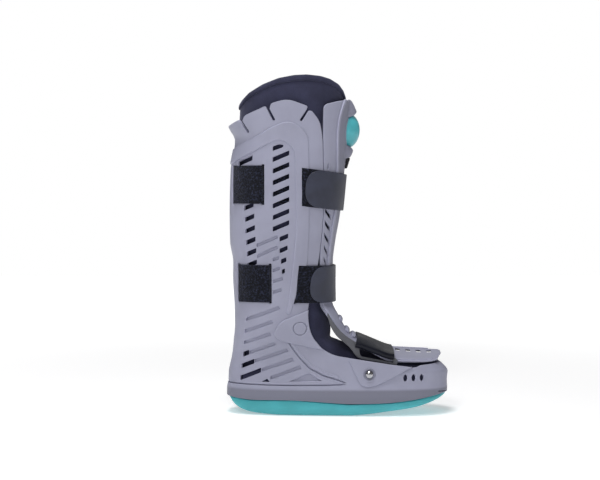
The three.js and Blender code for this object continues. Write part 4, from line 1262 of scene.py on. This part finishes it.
class BOOT_OT_outsole(bpy.types.Operator):
    """Mould the rocker outsole with a crowned side and a rounded ground edge"""
    bl_idname = "boot.outsole"
    bl_label = "Outsole"

    def execute(self, context):
        look = finishes()
        wall = Wall(FOOT[:2], 8, 24)
        height = 16.0
        near = numpy.linspace(0, 1, 131) * float(wall.span(height))
        ring = numpy.concatenate([near, -near[::-1][1:-1]])
        level = numpy.full(len(ring), height)
        edge = wall.point(ring, level)
        out = wall.normal(ring, level)[0]
        x = edge[:, 0]
        low, top = rocker(x), split(x)
        tall = numpy.maximum(top - low, 1.0)
        # each ring's way out from the wall and its share of the sole's height, from the top
        upper = [(-14, 1.0), (-4.8, 1.0), (-3.0, 0.995), (-2.1, 0.96), (-1.9, 0.93)]
        lower = [(-1.75, 0.8), (-1.7, 0.62), (-1.9, 0.46), (-2.5, 0.3), (-3.6, 0.17),
                 (-5.2, 0.08), (-7.4, 0.025), (-10, 0.0)]
        rings = []
        for way, part in upper + lower:
            ring_places = edge + out * way
            held = top - (1 - part) * tall if len(rings) < len(upper) else low + part * tall
            ring_places[:, 2] = held
            rings.append(ring_places)
        rim = rings[-1]
        spine = numpy.clip(x, -60, 150)
        centre = numpy.column_stack([spine, numpy.zeros(len(x)), rocker(spine)])
        for step in (0.25, 0.5, 0.75):
            inner = rim * (1 - step) + centre * step
            inner[:, 2] = rocker(inner[:, 0])
            rings.append(inner)
        faces, size = [], len(ring)
        for k in range(len(rings) - 1):
            a, b = k * size, (k + 1) * size
            faces += [(a + n, a + (n + 1) % size, b + (n + 1) % size, b + n) for n in range(size)]
        last = (len(rings) - 1) * size
        half = size // 2
        faces += [(last + n, last + n + 1, last + (size - n - 1) % size, last + (size - n) % size)
                  for n in range(half)]
        faces.append(tuple(range(size)))
        sole = mesh_object("outsole_rocker", numpy.concatenate(rings), faces)
        outward_faces(sole, weld=1e-6)
        sharp_by_angle(sole, 50)
        dress(sole, look["sole"], "boot", "outsole")
        return {"FINISHED"}


# ---------------------------------------------------------------- liner
LINER_INSET = 6.5  # from the leg's section to the liner's outside
BINDING_LEVEL = 415.0  # height that the binding's way round is measured at
MOST_SWELL = 0.0012  # metres
# The solid liner's top edge: share, height from the arch's top in arch heights, corner round.
LINER_TOP = [(-0.276, -1.15, 0), (-0.26, -0.92, 8), (-0.2, -0.5, 30), (0.02, 0.02, 60),
             (0.17, -0.16, 24), (0.208, -0.55, 14), (0.22, -1.1, 0)]
LINER_ARCH = [(-79.5, 392), (-77.5, 399), (-73, 404.5), (-65, 412), (-48, 421.4), (-28, 428.8),
              (-8, 432.4), (8, 433.2), (26, 431.6), (38, 428.6), (49, 423), (55, 416.5),
              (59.5, 408), (61.5, 401)]


def liner_top(x, arch=True):
    """Height of the liner's top edge: the sewn arch, or the solid's plainer one."""
    line = LINER_ARCH
    if not arch:
        line = rounded([(along(a), 400 + 33 * (1 + b), r) for a, b, r in LINER_TOP], closed=False)
    return numpy.interp(x, [p[0] for p in line], [p[1] for p in line])


def liner_wall():
    """The leg's section, drawn in to the outside of the liner."""
    gap = LINER_INSET
    rows = [(z, rear + gap, front - gap, heel - gap, ball - gap, power)
            for z, rear, front, heel, ball, power in LEG]
    return Wall(rows, LEG_FROM, LEG_TO)


class BOOT_OT_liner(bpy.types.Operator):
    """Pad the liner: its foam wall swells under its cover, with a bound top edge"""
    bl_idname = "boot.liner"
    bl_label = "Liner"

    def execute(self, context):
        sizes, look = context.scene.boot_sizes, finishes()
        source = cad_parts["liner"]
        liner = source.copy()
        liner.data = source.data.copy()
        liner.name = liner.data.name = "liner_padding"
        liner.parent = None
        context.scene.collection.objects.link(liner)
        liner.hide_render = False
        work = bmesh.new()
        work.from_mesh(liner.data)
        bmesh.ops.remove_doubles(work, verts=work.verts[:], dist=1e-5)
        work.to_mesh(liner.data)
        work.free()
        only(liner)
        remesh = liner.modifiers.new("cover", "REMESH")  # even faces for the cloth to move
        remesh.mode, remesh.voxel_size = "VOXEL", 0.0042
        even = liner.modifiers.new("even", "SMOOTH")
        even.factor, even.iterations = 0.5, 6
        apply_all(liner)
        self.fold(liner)
        self.swell(context, liner)
        fine = liner.modifiers.new("fine", "SUBSURF")
        fine.levels = fine.render_levels = 1
        apply_all(liner)
        for polygon in liner.data.polygons:
            polygon.use_smooth = True
        dress(liner, look["liner"], "boot", "liner")
        self.bind(sizes, look)
        return {"FINISHED"}

    def fold(self, liner):
        """Draw the instep in where the leg of the liner folds onto its foot."""
        size = len(liner.data.vertices)
        places = numpy.empty(size * 3)
        liner.data.vertices.foreach_get("co", places)
        places = places.reshape(-1, 3) / MM
        x, z = places[:, 0], places[:, 2]
        tall, count = 3, 161
        bins = numpy.clip((z / tall).astype(int), 0, count - 1)
        front = numpy.array([x[bins == k].max() if (bins == k).any() else 0 for k in range(count)])
        levels = (numpy.arange(count) + 0.5) * tall
        limit = eased([80, 84, 88, 91, 94.5, 97, 103, 112, 120, 126, 134, 143, 156, 170],
                      [90, 75, 62, 54.5, 46.5, 40.5, 40.5, 41.2, 39.8, 38.2, 35.8, 33.8, 34, 60], z)
        reach = numpy.interp(z, levels, front)
        fixed = 8  # nothing behind this moves
        part = numpy.minimum(1, (limit - fixed) / numpy.maximum(reach - fixed, 1))
        arch = liner_top(x) - 0.8 - liner_top(x, arch=False)
        places[:, 2] = z + arch * rise((z - 375) / 40)
        folded = (x > fixed) & (z > 80) & (z < 168)
        places[:, 0] = numpy.where(folded, fixed + (x - fixed) * part, x)
        liner.data.vertices.foreach_set("co", (places * MM).ravel())
        liner.data.update()

    def swell(self, context, liner):
        """Foam pressure lifts the cover by no more than the most that is set."""
        start = numpy.empty(len(liner.data.vertices) * 3)
        liner.data.vertices.foreach_get("co", start)
        cloth = liner.modifiers.new("foam", "CLOTH")
        cloth.settings.use_pressure = True
        cloth.settings.uniform_pressure_force = 3.0
        cloth.settings.effector_weights.gravity = 0
        cloth.settings.tension_stiffness = 15
        cloth.settings.mass = 0.3
        for number in range(1, 13):
            context.scene.frame_set(number)
        shape = liner.evaluated_get(context.evaluated_depsgraph_get()).to_mesh()
        moved = numpy.empty_like(start)
        shape.vertices.foreach_get("co", moved)
        liner.modifiers.remove(cloth)
        context.scene.frame_set(1)
        shift = (moved - start).reshape(-1, 3)
        size = numpy.linalg.norm(shift, axis=1)[:, None]
        shift *= numpy.minimum(1, MOST_SWELL / numpy.maximum(size, 1e-9))
        liner.data.vertices.foreach_set("co", (start.reshape(-1, 3) + shift).ravel())

    def bind(self, sizes, look):
        """Fold the binding over the top edge: a soft band with a rounded back."""
        wall = liner_wall()
        tall = sizes.binding / MM
        length = float(wall.span(BINDING_LEVEL))
        near = numpy.linspace(0, 1, 121) * length
        ring = numpy.concatenate([near, -near[::-1][1:-1]])
        columns = []
        # way out from the liner and height above its top edge
        profile = [(1.3, -tall), (1.45, -tall * 0.6), (1.35, -2.2), (0.8, -0.4), (-0.9, 1.0),
                   (-3.4, 1.5), (-6.2, 1.45), (-8.9, 0.8), (-10.5, -0.8), (-11.0, -2.6),
                   (-10.9, -tall), (-9.0, -tall - 0.2), (-5, -tall), (-0.6, -tall - 0.2)]
        for u in ring:
            spot = wall.point(numpy.array([u]), numpy.array([BINDING_LEVEL]))[0]
            top = float(liner_top(spot[0])) - 1.2
            column = []
            for out, lift in profile:
                scale = float(wall.span(top + lift)) / length
                column.append(wall.lay(numpy.array([[u * scale, top + lift, out]]))[0])
            columns.append(numpy.array(column))
        binding = sweep("liner_binding", columns)
        fine = binding.modifiers.new("fine", "SUBSURF")
        fine.levels = fine.render_levels = 1
        apply_all(binding)
        dress(binding, look["binding"], "boot", "liner")


# ---------------------------------------------------------------- front panel
PANEL_EDGE = [(0.1, 1.86, 20), (0.108, 1.58, 40), (0.085, 1.365, 20)]
PANEL_TOP = [(0.3, 2.014, 0), (0.226, 2.012, 0), (0.15, 1.996, 12), (0.106, 1.985, 18)]
# The instep strip down to the toes: share, level, half width and crown as shares of the width.
NECK = [
    (0.138, 1.255, 0.28, 0.125), (0.144, 1.205, 0.29, 0.14), (0.155, 1.176, 0.31, 0.115),
    (0.172, 1.148, 0.33, 0.1), (0.19, 1.118, 0.34, 0.1), (0.21, 1.088, 0.345, 0.09),
    (0.24, 1.064, 0.35, 0.085), (0.275, 1.053, 0.35, 0.08), (0.34, 1.028, 0.35, 0.07),
    (0.4, 1.005, 0.35, 0.06), (0.425, 0.998, 0.35, 0.05), (0.48, 0.975, 0.345, 0.035),
    (0.53, 0.96, 0.33, 0.025), (0.58, 0.955, 0.3, 0.02), (0.612, 0.965, 0.25, 0.02),
    (0.635, 0.985, 0.17, 0.015),
]
BULB_LEVEL = 364.6  # height of the pump bulb's middle
HOLE_STEP = 0.0475  # share of the sole's length from one forefoot hole to the next


def neck_rows(width=0.0, lift=0.0, crown=1.0):
    """The instep strip's rows in millimetres, wider, higher or flatter where asked."""
    rows = []
    for x, level, half, drop in NECK:
        roll = 6 * float(rise((x - 0.3) / 0.12))
        rows.append((along(x), up(level) + lift, half * SOLE_WIDTH + width,
                     drop * SOLE_WIDTH * crown, roll))
    return rows


def housing_lift(u, z, h):
    """The pump's housing: flush at the valve, low beside the bulb, with a hood over it."""
    knots = [312, 328, 330.5, 334, 340, 343, 347, 380, 382.5, 384.5, 389, 395, 401.7, 404]
    lifts = [0.02, 0.06, 1.0, 1.32, 1.53, 1.32, 1.1, 1.0, 1.4, 1.5, 1.6, 1.19, 0.55, 0.3]
    side = 1 - 0.93 * rise((numpy.abs(u) - 9) / 12)
    low = numpy.where((z > 345) & (z < 382), 0.07, side)
    return numpy.where(h > 0, h * eased(knots, lifts, z) * low, h)


class BOOT_OT_front_panel(bpy.types.Operator):
    """Mould the front panel: shin plate, raised face, pump housing, instep neck and plate"""
    bl_idname = "boot.front_panel"
    bl_label = "Front panel"

    def execute(self, context):
        look = finishes()
        shin = Wall(LEG, LEG_FROM, LEG_TO, start="front")
        side = [(along(a) + 0.8, up(b), r) for a, b, r in PANEL_EDGE]
        corners = [(along(0.3), 144, 0), (along(0.115), 144, 0)] + side[::-1] + [
            (along(a), up(b), r) for a, b, r in reversed(PANEL_TOP)]
        border = dense(rounded(corners), 2.0)
        tall = 6.5
        slots = [rounded([(x0, z0, 0.8), (x1, z1, 0.8), (x1, z1 - tall, 0.8),
                          (x0 + 0.6, z0 - tall, 0.8)], arc=3)
                 for x0, z0, x1, z1 in [(31.9, 266, 39.6, 255.8), (31.6, 250, 38.8, 240.2),
                                        (31, 234, 37.6, 224), (30.6, 219, 36, 208.6),
                                        (30.2, 204, 34.2, 195.6)]]
        slots.append(rounded([(35.2, 314.5, 0.6), (36.6, 314.5, 0.6), (36.4, 321.5, 0.6),
                              (35.5, 321.5, 0.6)], arc=3))
        plate = layer("panel_shin", shin, border, [dense(s, 1.5) for s in slots], -3.0, 0,
                      edge=0.9, grid=5)
        ridge = [(80, 403.5, 0), (56.4, 402.5, 3), (52.2, 388, 20), (48.6, 374, 20),
                 (46.6, 352, 30), (46.8, 318, 30), (44, 262, 30), (40.4, 236, 30),
                 (37.2, 205, 20), (35.4, 152, 4), (80, 152, 0)]
        face = layer("panel_face", shin, dense(rounded(ridge), 2.0), [], -0.6, 1.3,
                     edge=1.1, grid=5)
        bulb_hole = [(21.6 * math.cos(a), BULB_LEVEL + 22.0 * math.sin(a))
                     for a in numpy.linspace(0, 2 * math.pi, 48, endpoint=False)]
        box = rounded([(-21, 312, 9), (21, 312, 9), (25.5, 345, 12), (25.5, 380, 12),
                       (22, 404, 9), (-22, 404, 9), (-25.5, 380, 12), (-25.5, 345, 12)])
        house = layer("pump_housing", shin, dense(box, 2.0), [bulb_hole], -1.2, 6.2,
                      edge=3.6, steps=6, grid=3.0, mirror=False, swell=housing_lift,
                      in_pattern=True)
        outward_faces(house)
        sharp_by_angle(house, 55)
        line = [(57.2, 402.4), (53.6, 392), (49.4, 375), (47.6, 354), (47.5, 318), (45, 264),
                (41.2, 238), (37.8, 212), (35.6, 186)]
        crest = layer("panel_crest", shin, ribbon(smooth_line(line), 1.25), [], -0.4, 2.0,
                      edge=1.1, grid=5)
        # the face and the pump housing take the darker plastic as painted shade
        for piece, finish in ((plate, "panel"), (face, "face"), (house, "face"), (crest, "panel")):
            dress(piece, look[finish], "boot", "front_panel")
        self.neck(look)
        return {"FINISHED"}

    def neck(self, look):
        """The instep neck and forefoot plate, with its holes, cross ribs and side rims."""
        strip = Instep(neck_rows())
        last = strip.run[-1]
        stations = numpy.linspace(0, last - 6, 60)
        near = [(float(u), -float(strip.half(u))) for u in stations]
        nose = [(last, -7.0), (last + 1.6, 0.0), (last, 7.0)]
        outline = near + nose + [(u, -v) for u, v in reversed(near)]
        start = strip.u_of(along(0.447))
        holes = []
        wider = []
        for k in range(4):
            u = start + k * along(HOLE_STEP)
            for loops, half, low, high in ((holes, 3, 1, 16), (wider, 4, 0, 18.5)):
                loops.append(rounded([(u - half, low, 1), (u + half, low, 1),
                                      (u + half, high, 1), (u - half, high, 1)], arc=3))
        neck = layer("panel_neck", strip, dense(outline), [dense(h, 1.5) for h in holes],
                     -1.5, 0, edge=0.9, grid=4, mirror=False, in_pattern=True)
        under = layer("panel_neck_under", strip, dense(outline), [dense(h, 1.5) for h in wider],
                      -3.2, -1.2, edge=0.3, steps=1, grid=5, mirror=False, in_pattern=True)
        for piece, finish in ((neck, "panel"), (under, "recess")):
            dress(piece, look[finish], "boot", "front_panel")
        for number, (x, high, half) in enumerate([(52.5, 3.0, 20), (61.2, 3.4, 22), (69.5, 3.4, 24)]):
            low, top = strip.u_of(x) - 3.2, strip.u_of(x) + 3.2
            pad = rounded([(low, -half, 2.4), (top, -half, 2.4), (top, half, 2.4), (low, half, 2.4)])
            bump = layer(f"panel_rib_{number}", strip, dense(pad, 2.0), [], -0.8, high,
                         edge=2.4, steps=5, grid=3, mirror=False, in_pattern=True)
            dress(bump, look["panel"], "boot", "front_panel")
        for side in (-1, 1):
            line = [(float(u), side * float(strip.half(u) - 3.0))
                    for u in numpy.linspace(3, last - 14, 50)]
            rim = layer(f"panel_rim_{'near' if side < 0 else 'far'}", strip, ribbon(line, 1.7), [],
                        -0.8, 1.3, edge=1.0, grid=4, mirror=False, in_pattern=True)
            dress(rim, look["panel"], "boot", "front_panel")


# ---------------------------------------------------------------- pump and valve
class BOOT_OT_pump(bpy.types.Operator):
    """Shape the squeeze bulb with its base ring, and the valve button"""
    bl_idname = "boot.pump"
    bl_label = "Pump bulb and valve"

    def execute(self, context):
        look = finishes()
        shin = Wall(LEG, LEG_FROM, LEG_TO, start="front")
        bpy.ops.object.select_all(action="DESELECT")
        bpy.ops.mesh.primitive_uv_sphere_add(segments=72, ring_count=48, radius=1)
        bulb = context.active_object
        bulb.name = bulb.data.name = "pump_bulb_rubber"
        bulb.scale = (16.5 * MM, 21.4 * MM, 22.6 * MM)
        bulb.rotation_euler = (0, math.radians(4), 0)
        bulb.location = Vector((60.8 * MM, 0, BULB_LEVEL * MM))
        settle(bulb)
        cut = 52 * MM  # the bulb's hidden back is cut flat here
        bpy.ops.object.mode_set(mode="EDIT")
        bpy.ops.mesh.select_all(action="SELECT")
        bpy.ops.mesh.bisect(plane_co=(cut, 0, 0), plane_no=(1, 0, 0), use_fill=True, clear_inner=True)
        bpy.ops.object.mode_set(mode="OBJECT")
        sharp_by_angle(bulb, 50)
        dress(bulb, look["bulb"], "boot", "pump_bulb")
        ring = []
        for a in numpy.linspace(0, 2 * math.pi, 96, endpoint=False):
            centre = Vector((0, 21.9 * math.cos(a), 22.8 * math.sin(a)))
            out = Vector((0, math.cos(a), math.sin(a)))
            base = shin.point(numpy.array([centre.y]), numpy.array([BULB_LEVEL + centre.z]))[0]
            around = []
            for b in numpy.linspace(0, 2 * math.pi, 12, endpoint=False):
                around.append((base[0] + 0.3 + 1.2 * math.sin(b),
                               centre.y + out.y * 1.3 * math.cos(b),
                               BULB_LEVEL + centre.z + out.z * 1.3 * math.cos(b)))
            ring.append(numpy.array(around))
        collar = sweep("pump_collar", ring)
        dress(collar, look["panel"], "boot", "front_panel")
        self.valve(look)
        return {"FINISHED"}

    def valve(self, look):
        """The valve button's cap, a wedge that stands out most at its top."""
        low, high = (Vector(corner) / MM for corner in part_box("valve_button"))
        corners = [(low.x, low.z - 2, 0), (high.x - 2.2, low.z - 2, 1.0),
                   (high.x + 2, high.z - 0.5, 1.6), (low.x, high.z, 0)]
        half = 5.5
        valve = layer("valve_button_cap", Upright(0.0), dense(rounded(corners), 1.0), [],
                      -half, half, edge=0.8, grid=2, mirror=False, in_pattern=True)
        dress(valve, look["valve"], "valve", "valve_button")


# ---------------------------------------------------------------- straps
TAB_LIFT = 3.0  # from the leg's wall to the tab's underside
FOOT_STRAP_AT, FOOT_STRAP_HALF = along(0.3385), 23.5


def leg_ring(wall, level, fall, middle, share, width):
    """Pattern places on the leg at a share of the way round, for a strap that falls in front."""
    z = level + width
    u = share * wall.span(z)
    x = wall.point(u, z)[:, 0]
    z = z - fall * numpy.maximum(0, x - middle)
    return share * wall.span(z), z, x


class BOOT_OT_calf_straps(bpy.types.Operator):
    """Thread the two loop straps through the shell and close them with their tabs"""
    bl_idname = "boot.calf_straps"
    bl_label = "Calf straps"

    def execute(self, context):
        sizes, look = context.scene.boot_sizes, finishes()
        wall = Wall(LEG, LEG_FROM, LEG_TO)
        width, thick = sizes.strap_width / MM, sizes.strap_thickness / MM
        for name, strap in STRAPS.items():
            self.loop(look, wall, name, strap, width, thick)
            self.tab(look, name, strap, width, sizes.tab_thickness / MM)
        return {"FINISHED"}

    def loop(self, look, wall, name, strap, width, thick):
        """A loop strap round the leg: inside the shell, outside between the first two slots and
        past the third."""
        half = width / 2
        across = numpy.linspace(-half + 0.7, half - 0.7, 15)
        profile = [(w, 0.5) for w in across]
        profile += [(half - 0.2, 0.38), (half, 0.0), (half - 0.2, -0.38)]
        profile += [(w, -0.5) for w in across[::-1]]
        profile += [(-half + 0.2, -0.38), (-half, 0.0), (-half + 0.2, 0.38)]
        rear, middle, front = strap["slots"]
        under, over = -3.9 - thick / 2, 0.45 + thick / 2
        near = numpy.linspace(0, 1, 190)
        ring = numpy.concatenate([near, -near[::-1][1:-1]])
        columns = []
        for share in ring:
            w = numpy.array([p[0] for p in profile])
            lift = numpy.array([p[1] for p in profile]) * thick
            u, z, x = leg_ring(wall, strap["z"], strap["fall"], strap["middle"],
                               numpy.full(len(w), abs(share)), w)
            lean = (LOWER_LEAN if name == "lower" else 0) * (0.5 - w / width)
            part = (rise((x - rear + 2.2) / 4.4) - rise((x - middle + 2.2) / 4.4)
                    + rise((x - front + lean + 2.2) / 4.4))
            h = under + (over - under) * part
            puff = numpy.sin(w * 0.23 + share * 11) * 0.16 + numpy.sin(share * 61 + w * 0.11) * 0.12
            h = h + lift + puff * part
            far = -1.0 if share < 0 else 1.0
            columns.append(wall.lay(numpy.column_stack([u * far, z, h])))
        piece = sweep(f"{name}_strap_loop", columns)
        sharp_by_angle(piece, 60)
        dress(piece, look["strap"], "boot", f"{name}_calf_strap")

    def tab(self, look, name, strap, width, thick):
        """The tab that closes a strap in front, with its rounded end on the near side."""
        shin = Wall(LEG, LEG_FROM, LEG_TO, start="front")
        start = shin.flat([(strap["tab"], strap["z"])])[0][0]
        far = shin.flat([(strap["slots"][2] + 3.4, strap["z"])])[0][0]
        half = width / 2 - 0.4
        flat = rounded([(-far, -half, 2), (start, -half, 21), (start, half, 21), (-far, half, 2)],
                       arc=14)
        outline = []
        for u, w in dense(flat, 2.0):
            x = shin.point(numpy.array([abs(u)]), numpy.array([strap["z"] + w]))[0][0]
            outline.append((u, strap["z"] + w - strap["fall"] * max(0, x - strap["middle"])))
        tab = layer(f"{name}_tab_cover", shin, outline, [], TAB_LIFT, TAB_LIFT + thick,
                    edge=0.8, grid=4, mirror=False, in_pattern=True)
        dress(tab, look["tab"], "boot", f"{name}_strap_tab")


class BOOT_OT_foot_strap(bpy.types.Operator):
    """Lay the foot strap over the instep, rolled round the bar of each flange"""
    bl_idname = "boot.foot_strap"
    bl_label = "Foot strap and flanges"

    def execute(self, context):
        look = finishes()
        rows = [(x, z, half, drop * float(numpy.interp(x, [70, 100, 122], [1, 0.8, 0.55])),
                 roll * 0.25)
                for x, z, half, drop, roll in neck_rows(width=5.44, lift=0.8, crown=0.9)]
        strip = Instep(rows)
        ends = [strip.u_of(FOOT_STRAP_AT + FOOT_STRAP_HALF * side) for side in (-1, 1)]
        thick, roll = 2.7, 2.9
        columns = []
        for u in numpy.linspace(*ends, 30):
            half = float(strip.half(u))
            line = [(float(v), thick * 0.55) for v in numpy.linspace(0, half - 0.6, 16)]
            for a in numpy.linspace(80, -215, 22):
                line.append((half - 0.8 + roll * math.cos(math.radians(a)),
                             -1.4 + roll * math.sin(math.radians(a))))
            line = numpy.array(line)
            run = numpy.gradient(line, axis=0)
            run /= numpy.linalg.norm(run, axis=1)[:, None]
            side = numpy.stack([-run[:, 1], run[:, 0]], axis=1) * (thick * 0.42)
            outer, inner = line + side, line - side
            both = numpy.concatenate([outer[::-1] * (-1, 1), outer[1:],
                                      inner[::-1], (inner * (-1, 1))[1:]])
            base_v = numpy.clip(both[:, 0], -half, half)
            base_u = numpy.full(len(both), u)
            base = strip.point(base_u, base_v)
            out = strip.normal(base_u, numpy.clip(both[:, 0], -half * 0.9, half * 0.9))[0]
            place = base + out * both[:, 1:2]
            place[:, 1] += both[:, 0] - base_v
            columns.append(place)
        strap = sweep("foot_strap_webbing", columns, closed=False, caps=True)
        bevel = strap.modifiers.new("edge", "BEVEL")
        bevel.width, bevel.segments = 0.6 * MM, 2
        bevel.limit_method, bevel.angle_limit = "ANGLE", math.radians(50)
        apply_all(strap)
        sharp_by_angle(strap, 50)
        dress(strap, look["foot_strap"], "boot", "foot_strap")
        self.flanges(look)
        return {"FINISHED"}

    def flanges(self, look):
        """The two flanges beside the strap, flat plates with a long hole."""
        corners = [(35.5, 132, 2), (40, 123.2, 10), (52.9, 106.2, 10), (70.1, 94.4, 8),
                   (124.6, 72.6, 5), (124.4, 64.4, 5), (72.9, 73.2, 8), (64.4, 87, 8),
                   (46, 102, 12), (38.6, 114, 8), (34.5, 129, 2)]
        hole = [(75.5, 86.2, 2), (118.8, 70.2, 1.5), (118.4, 68.2, 1.5), (77, 76.4, 3)]
        near = layer("flange_near", Upright(-38.3), dense(rounded(corners), 2.0),
                     [dense(rounded(hole), 1.5)], -1.5, 1.5, edge=0.9, grid=4, mirror=False,
                     in_pattern=True)
        far = mirrored_copy(near, "flange_far")
        dress(near, look["flange"], "boot", "strap_flange_near")
        dress(far, look["flange"], "boot", "strap_flange_far")


class BOOT_OT_rivets(bpy.types.Operator):
    """Turn the domed rivet and its pressed ring, and set one on each boss"""
    bl_idname = "boot.rivets"
    bl_label = "Rivets"

    def turn(self, name, line, centre):
        """Spin a profile of (radius, height) points about an axis along Y."""
        places = [(centre.x + r, centre.y - h, centre.z) for r, h in line]
        piece = mesh_object(name, places, [])
        piece.data.edges.add(len(line) - 1)
        piece.data.edges.foreach_set(
            "vertices", [k + n for k in range(len(line) - 1) for n in (0, 1)])
        only(piece)
        bpy.ops.object.mode_set(mode="EDIT")
        bpy.ops.mesh.select_all(action="SELECT")
        bpy.ops.mesh.spin(steps=48, angle=2 * math.pi, center=centre * MM, axis=(0, 1, 0))
        bpy.ops.mesh.select_all(action="SELECT")
        bpy.ops.mesh.remove_doubles(threshold=1e-6)
        bpy.ops.mesh.normals_make_consistent(inside=False)
        bpy.ops.object.mode_set(mode="OBJECT")
        sharp_by_angle(piece, 50)
        return piece

    def execute(self, context):
        look = finishes()
        low, high = (Vector(c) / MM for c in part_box("rivet_near"))
        centre = Vector(((low.x + high.x) / 2, 0, (low.z + high.z) / 2))
        wall = Wall(FOOT + LEG[:2], 8, 110)
        u, v = wall.flat([(centre.x, centre.z)])[0]
        raised = context.scene.boot_sizes.raised / MM
        on_wall = wall.point(numpy.array([u]), numpy.array([v]))[0]
        centre.y = float(on_wall[1]) - raised - BOSS_EXTRA
        # radius and height above the boss
        dome = [(0, 3.9), (1.6, 3.75), (3.0, 3.25), (4.2, 2.4), (5.0, 1.4), (5.35, 0.6),
                (5.4, 0.0), (5.4, -0.6), (0, -0.6)]
        ring = [(6.0, -0.6), (6.0, 0.6), (6.4, 1.1), (7.0, 1.15), (7.6, 0.7), (7.9, -0.1),
                (7.9, -0.9), (6.0, -0.6)]
        head = self.turn("rivet_near_head", dome, centre)
        far_head = mirrored_copy(head, "rivet_far_head")
        for piece, node in ((head, "rivet_near"), (far_head, "rivet_far")):
            dress(piece, look["steel"], "boot", node)
        seat = self.turn("rivet_ring_near", ring, centre)
        for piece in (seat, mirrored_copy(seat, "rivet_ring_far")):
            # the rings take the darker plastic as painted shade round the rivet heads
            dress(piece, look["face"], "boot")
        return {"FINISHED"}


# ---------------------------------------------------------------- stage
CAMERA_PLACE, CAMERA_TILT = (0, -1.7, 0.29), 87.743
LENS, SENSOR = 78.52, 36
# Each light's name, place, aim, size and power.
LIGHTS = [
    ("key", (-0.6, -1.85, 1.75), (0, 0, 0.2), 0.7, 16),
    ("fill", (1.7, -1.6, 0.8), (0, 0, 0.2), 1.4, 0.5),
    ("top", (-0.2, -0.5, 2.1), (0, 0, 0.2), 0.6, 23),
    ("back", (0.5, 1.9, 1.3), (0, 0, 0.25), 1.4, 3),
]


class BOOT_OT_stage(bpy.types.Operator):
    """Set a pale floor, soft studio lights and the camera"""
    bl_idname = "boot.stage"
    bl_label = "Studio"

    def execute(self, context):
        look = finishes()
        bpy.ops.object.select_all(action="DESELECT")
        bpy.ops.mesh.primitive_plane_add(size=1, location=(0, -0.2, -0.0002))
        floor = context.active_object
        floor.name = floor.data.name = "studio_floor"
        floor.scale = (6.8, 5.6, 1)
        settle(floor)
        floor.data.materials.append(look["floor"])
        world = bpy.data.worlds.new("studio")
        world.use_nodes = True
        background = world.node_tree.nodes["Background"]
        background.inputs["Color"].default_value = (1, 1, 1, 1)
        path = world.node_tree.nodes.new("ShaderNodeLightPath")
        strength = world.node_tree.nodes.new("ShaderNodeMapRange")
        strength.inputs["To Min"].default_value = 0.16  # as a light on the boot
        strength.inputs["To Max"].default_value = 1.0  # as the ground that is seen
        world.node_tree.links.new(path.outputs["Is Camera Ray"], strength.inputs["Value"])
        world.node_tree.links.new(strength.outputs["Result"], background.inputs["Strength"])
        context.scene.world = world
        for name, place, aim, size, power in LIGHTS:
            light = bpy.data.lights.new(name, "AREA")
            light.size, light.energy = size, power
            lamp = bpy.data.objects.new(name, light)
            lamp.location = place
            lamp.rotation_euler = (Vector(aim) - Vector(place)).to_track_quat("-Z", "Y").to_euler()
            context.scene.collection.objects.link(lamp)
        eye = bpy.data.cameras.new("camera")
        eye.lens, eye.sensor_width = LENS, SENSOR
        camera = bpy.data.objects.new("camera", eye)
        camera.location = CAMERA_PLACE
        camera.rotation_euler = (math.radians(CAMERA_TILT), 0, 0)
        context.scene.collection.objects.link(camera)
        context.scene.camera = camera
        context.scene.view_settings.view_transform = "Standard"
        return {"FINISHED"}


class BOOT_PT_pieces(bpy.types.Panel):
    """Lists the boot's pieces, sizes and colours"""
    bl_label = "Walking boot"
    bl_space_type = "VIEW_3D"
    bl_region_type = "UI"
    bl_category = "Boot"

    def draw(self, context):
        for operator in OPERATORS:
            self.layout.operator(operator.bl_idname)
        for group in (context.scene.boot_sizes, context.scene.boot_colours):
            for name in group.__annotations__:
                self.layout.prop(group, name)


GROUPS = (BootSizes, BootColours)
OPERATORS = (BOOT_OT_stage, BOOT_OT_rear_shell, BOOT_OT_outsole, BOOT_OT_liner, BOOT_OT_front_panel,
             BOOT_OT_pump, BOOT_OT_calf_straps, BOOT_OT_foot_strap, BOOT_OT_rivets)


def register():
    """Add the classes and the boot's settings."""
    for each in (*GROUPS, *OPERATORS, BOOT_PT_pieces):
        bpy.utils.register_class(each)
    bpy.types.Scene.boot_sizes = bpy.props.PointerProperty(type=BootSizes)
    bpy.types.Scene.boot_colours = bpy.props.PointerProperty(type=BootColours)


def unregister():
    """Take them away again."""
    del bpy.types.Scene.boot_colours
    del bpy.types.Scene.boot_sizes
    for each in (BOOT_PT_pieces, *reversed(OPERATORS), *reversed(GROUPS)):
        bpy.utils.unregister_class(each)


def main():
    """Make the whole boot."""
    register()
    for operator in OPERATORS:
        group, name = operator.bl_idname.split(".")
        getattr(getattr(bpy.ops, group), name)()


if __name__ == "__main__":
    main()
